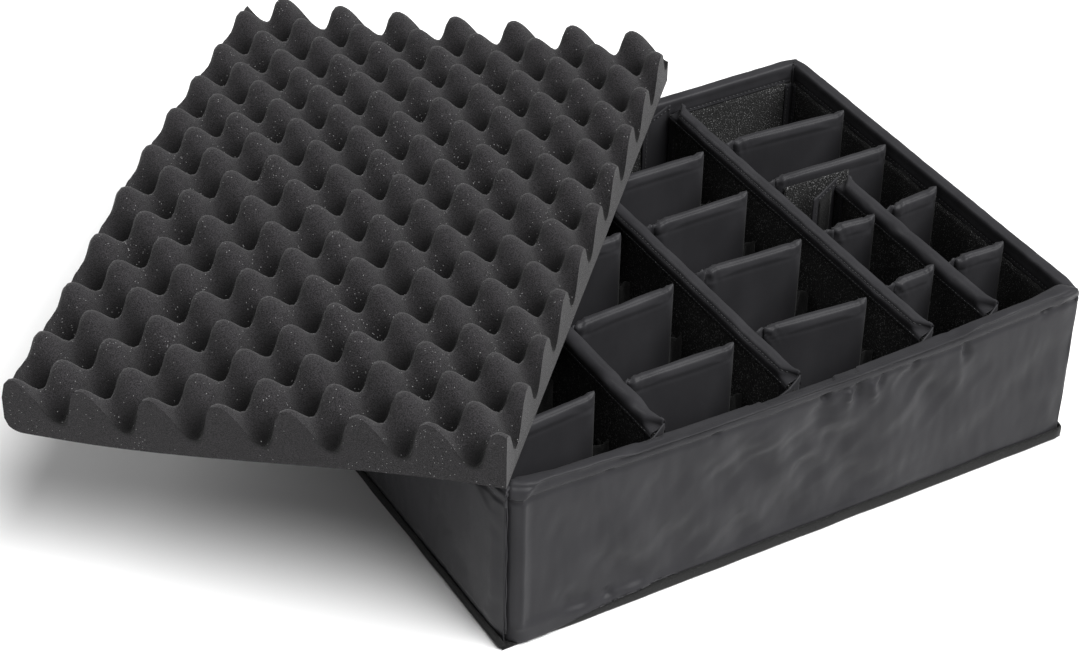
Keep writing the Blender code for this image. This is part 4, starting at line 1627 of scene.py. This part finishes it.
longShares = (-0.231, 0.0, 0.237)  # places in shares of the tray's length
shortShare = 0.3566
crossRows = {  # places of a slab's left and right end, in shares of the tray's width
    "1": ((-0.337, -0.310), (-0.106, -0.102), (0.103, 0.106), (0.281, 0.275)),
    "2": ((-0.308, -0.312), (-0.111, -0.093), (0.101, 0.104), (0.276, 0.272)),
    "3": ((-0.293, -0.318), (-0.078, -0.091), (0.107, 0.108), (0.277, 0.274)),
    "4": (None, None, (0.126, 0.114), (0.292, 0.267)),
    "4_left": ((-0.294, -0.288), (-0.076, -0.087), None, None),
    "4_right": ((-0.284, -0.291), (-0.075, -0.065), None, None),
}
underPad = {("1", 1), ("1", 2), ("1", 3), ("2", 3)}  # these stay unsettled


def columnFaces():
    half = divider["half"]
    inner = tray["length"] / 2 - tray["wall"]
    first, second, third = (share * tray["length"] for share in longShares)
    fourth = shortShare * tray["length"]
    return {
        "1": (-inner, first - half),
        "2": (first + half, second - half),
        "3": (second + half, third - half),
        "4": (third + half, inner),
        "4_left": (third + half, fourth - half),
        "4_right": (fourth + half, inner),
    }


def makeCrossDivider(column, row, ends, order):
    name = f"cross_divider_{column}_row_{row + 1}"
    left, right = columnFaces()[column]
    span = right - left
    start = cross["leftGap"][column[0]]
    end = span - cross["rightGap"].get(column, cross["shortRightGap"])
    yLeft, yRight = (share * tray["width"] for share in ends)
    half = cross["half"]
    low, top = tray["dividerBottom"], tray["rim"] - cross["topDrop"]
    straight = top - low - half
    section = 2 * straight + math.pi * half
    lower = evenSteps(straight - cross["topBand"], cross["mesh"])
    upper = lower[-1] + evenSteps(section - 2 * lower[-1], cross["topMesh"])
    alongs = evenSteps(end - start, cross["mesh"])
    reaches = numpy.concatenate([lower[:-1], upper, section - lower[-2::-1]])

    def place(along, reach):
        across, up = crownSection(reach, half, straight)
        fromRight = end - start - along
        rounding = min(along / 0.006, fromRight / 0.005, 1.0)
        lift = groove(cross["ear"], fromRight) - groove(cross["droop"], along)
        height = low + up + lift * smoothStep((up - straight + cross["topBand"]) / cross["topBand"])
        thick = cross["flatEnd"] + (1.0 - cross["flatEnd"]) * math.sqrt(1.0 - (1.0 - rounding) ** 2)
        u = start + along
        return Vector((left + u, yLeft + (yRight - yLeft) * u / span + across * thick, height))

    # A soft ridge and seam along the crown, drape folds down the faces, crumpled cloth at the ends
    def foldAt(along, reach):
        edge = min(reach, section - reach)
        fromRight = end - start - along
        nearTop = smoothStep((edge - straight + 0.022) / 0.022)
        spot = Vector((along * 55.0, reach * 55.0, order * 2.3))
        dent = 0.0005 * noise.noise(spot * 0.5) + uneven(cross["crumple"], along, reach, order * 3.1)
        dent += groove(cross["crownSeam"], reach - straight - half * 1.05)
        dent += nearTop * groove(cross["crownGroove"], reach - straight)
        folds = math.sin(along * 900.0 + reach * 420.0 * math.sin(order) + order * 2.1)
        dent += nearTop * bell(along, 0.012) * (0.0008 * folds + 0.0012 * noise.noise(spot * 2.4))
        dent += nearTop * groove(cross["pinch"], fromRight - 0.3 * (edge - straight))
        dent += 0.0008 * nearTop * bell(fromRight, 0.01) * noise.noise(spot * 4.0)
        return -dent * smoothStep(min(along, fromRight) / 0.002 + 0.3)

    def firmness(step, spot):
        edge = min(reaches[step], section - reaches[step])
        if edge < cross["heldFoot"] or fromSide(spot, alongs) < 2:
            return 1.0
        return 0.6 if edge > straight else 0.0

    body = clothGrid(camel(name), alongs, reaches, place)
    if (column, row) not in underPad:
        capShare = cross["patchedCapShare"] if name == "cross_divider_4_row_3" else 1.0
        settleCloth(body, alongs, reaches, firmness, cross, None, capShare)
    body, alongs, reaches = folded(body, alongs, reaches, foldAt)
    closeSlab(body, len(alongs), len(reaches))
    dress(body, nylon, name, [name])
    makeCrossTabs(name, left, span, (start, end), (yLeft, yRight), order)


# Closes the two ends and the underside of a slab's cloth
def closeSlab(item, columns, rows):
    shape = bmesh.new()
    shape.from_mesh(item.data)
    shape.verts.ensure_lookup_table()
    quads = []
    for column in (0, columns - 1):
        for row in range((rows - 1) // 2):
            mirror = rows - 1 - row
            quads.append({(row, column), (row + 1, column), (mirror - 1, column), (mirror, column)})
    for column in range(columns - 1):
        quads.append([(row, column + step) for row in (0, rows - 1) for step in (0, 1)])
    for quad in quads:
        corners = [shape.verts[row * columns + column] for row, column in quad]
        bmesh.ops.contextual_create(shape, geom=corners)
    bmesh.ops.recalc_face_normals(shape, faces=shape.faces)
    shape.to_mesh(item.data)
    shape.free()
    item.data.set_sharp_from_angle(angle=math.radians(70.0))


# Flaps from the slab's ends to the neighbours, and the feet that grip them
def makeCrossTabs(name, left, span, tips, ends, order):
    low = tray["dividerBottom"] + cross["flapFoot"]
    top = tray["rim"] - cross["topDrop"]
    flaps = (
        ("Left", 0.0, tips[0], 1, top - cross["tabDrop"] + 0.003, nylon),
        ("Right", span, tips[1], -1, top - cross["hookDrop"], felt),
    )
    for label, face, tip, side, high, paint in flaps:
        middle = ends[0] + (ends[1] - ends[0]) * tip / span
        near = face + side * 0.0012
        foot = Vector((near, middle + cross["foot"]))
        way = [Vector((tip + side * 0.001, middle)), Vector((near, middle)), foot]
        total, lead = sum(runsOf(way)), runsOf(way)[0]

        def place(along, up):
            point = alongWay(way, along / total)
            reach = min(along / lead, 1.0)
            share = up / (high - low)
            free = 1.0 - smoothStep((reach - 0.8) / 0.2)
            wave = uneven(cross["flapWave"], along, up, order * 1.9) * free
            ruffle = uneven(cross["flapRuffle"], along, order, 1.0) * smoothStep((share - 0.85) / 0.15)
            drop = cross["flapSag"] * smoothStep(share) if along > lead * 1.2 else 0.0
            return Vector((left + point.x, point.y + wave, low + up + ruffle - drop))

        flap = clothSheet(camel(name) + label + "Flap", (total, high - low), cross["flapMesh"], place)
        thicken(flap, cross["flapThickness"], 0.0)
        dress(flap, paint, name)


order = 0
for column, rows in crossRows.items():
    for row, ends in enumerate(rows):
        if ends:
            makeCrossDivider(column, row, ends, order)
            order += 1
print("cross dividers sewn")


# Loop patch on the divider behind the short one
patch = {
    "leftInset": 0.014,
    "length": 0.066,
    "margin": 0.009,
    "stand": 0.0023,
    "wave": (0.0003, 60.0, 60.0),
    "mesh": (0.003, 0.003),
    "thickness": 0.0008,
    "stitchInset": 0.002,
    "stitchLift": 0.0003,
}


def makePatch():
    left, right = columnFaces()["4"]
    span = right - left
    low = tray["dividerBottom"] + patch["margin"]
    high = tray["rim"] - cross["topDrop"] - patch["margin"]
    yLeft, yRight = crossRows["4"][2]
    width, height = patch["length"], high - low

    def place(along, up):
        u = patch["leftInset"] + along
        y = (yLeft + (yRight - yLeft) * u / span) * tray["width"]
        wave = uneven(patch["wave"], along, up, 4.0)
        return Vector((left + u, y - cross["half"] - patch["stand"] + wave, low + up))

    loop = clothSheet("loopPatch", (width, height), patch["mesh"], place)
    faceAway(loop, Vector((left + span / 2, 1.0, 0.08)))
    thicken(loop, patch["thickness"])
    dress(loop, loopFabric, "cross_divider_4_row_3", ["cross_divider_4_row_3_patch"])
    stitches = bmesh.new()
    inset = patch["stitchInset"]
    path = ((inset, inset), (inset, height - inset), (width - inset, height - inset), (width - inset, inset))
    for (fromAlong, fromUp), (toAlong, toUp) in zip(path, path[1:]):
        points = []
        for step in range(21):
            share = step / 20
            points.append(place(fromAlong + (toAlong - fromAlong) * share, fromUp + (toUp - fromUp) * share))
        stitchRow(stitches, points, [Vector((0.0, -1.0, 0.0))] * 21, patch["stitchLift"])
    dress(finishedPiece("loopPatchStitches", stitches), thread, "cross_divider_4_row_3")


makePatch()
print("patch sewn")
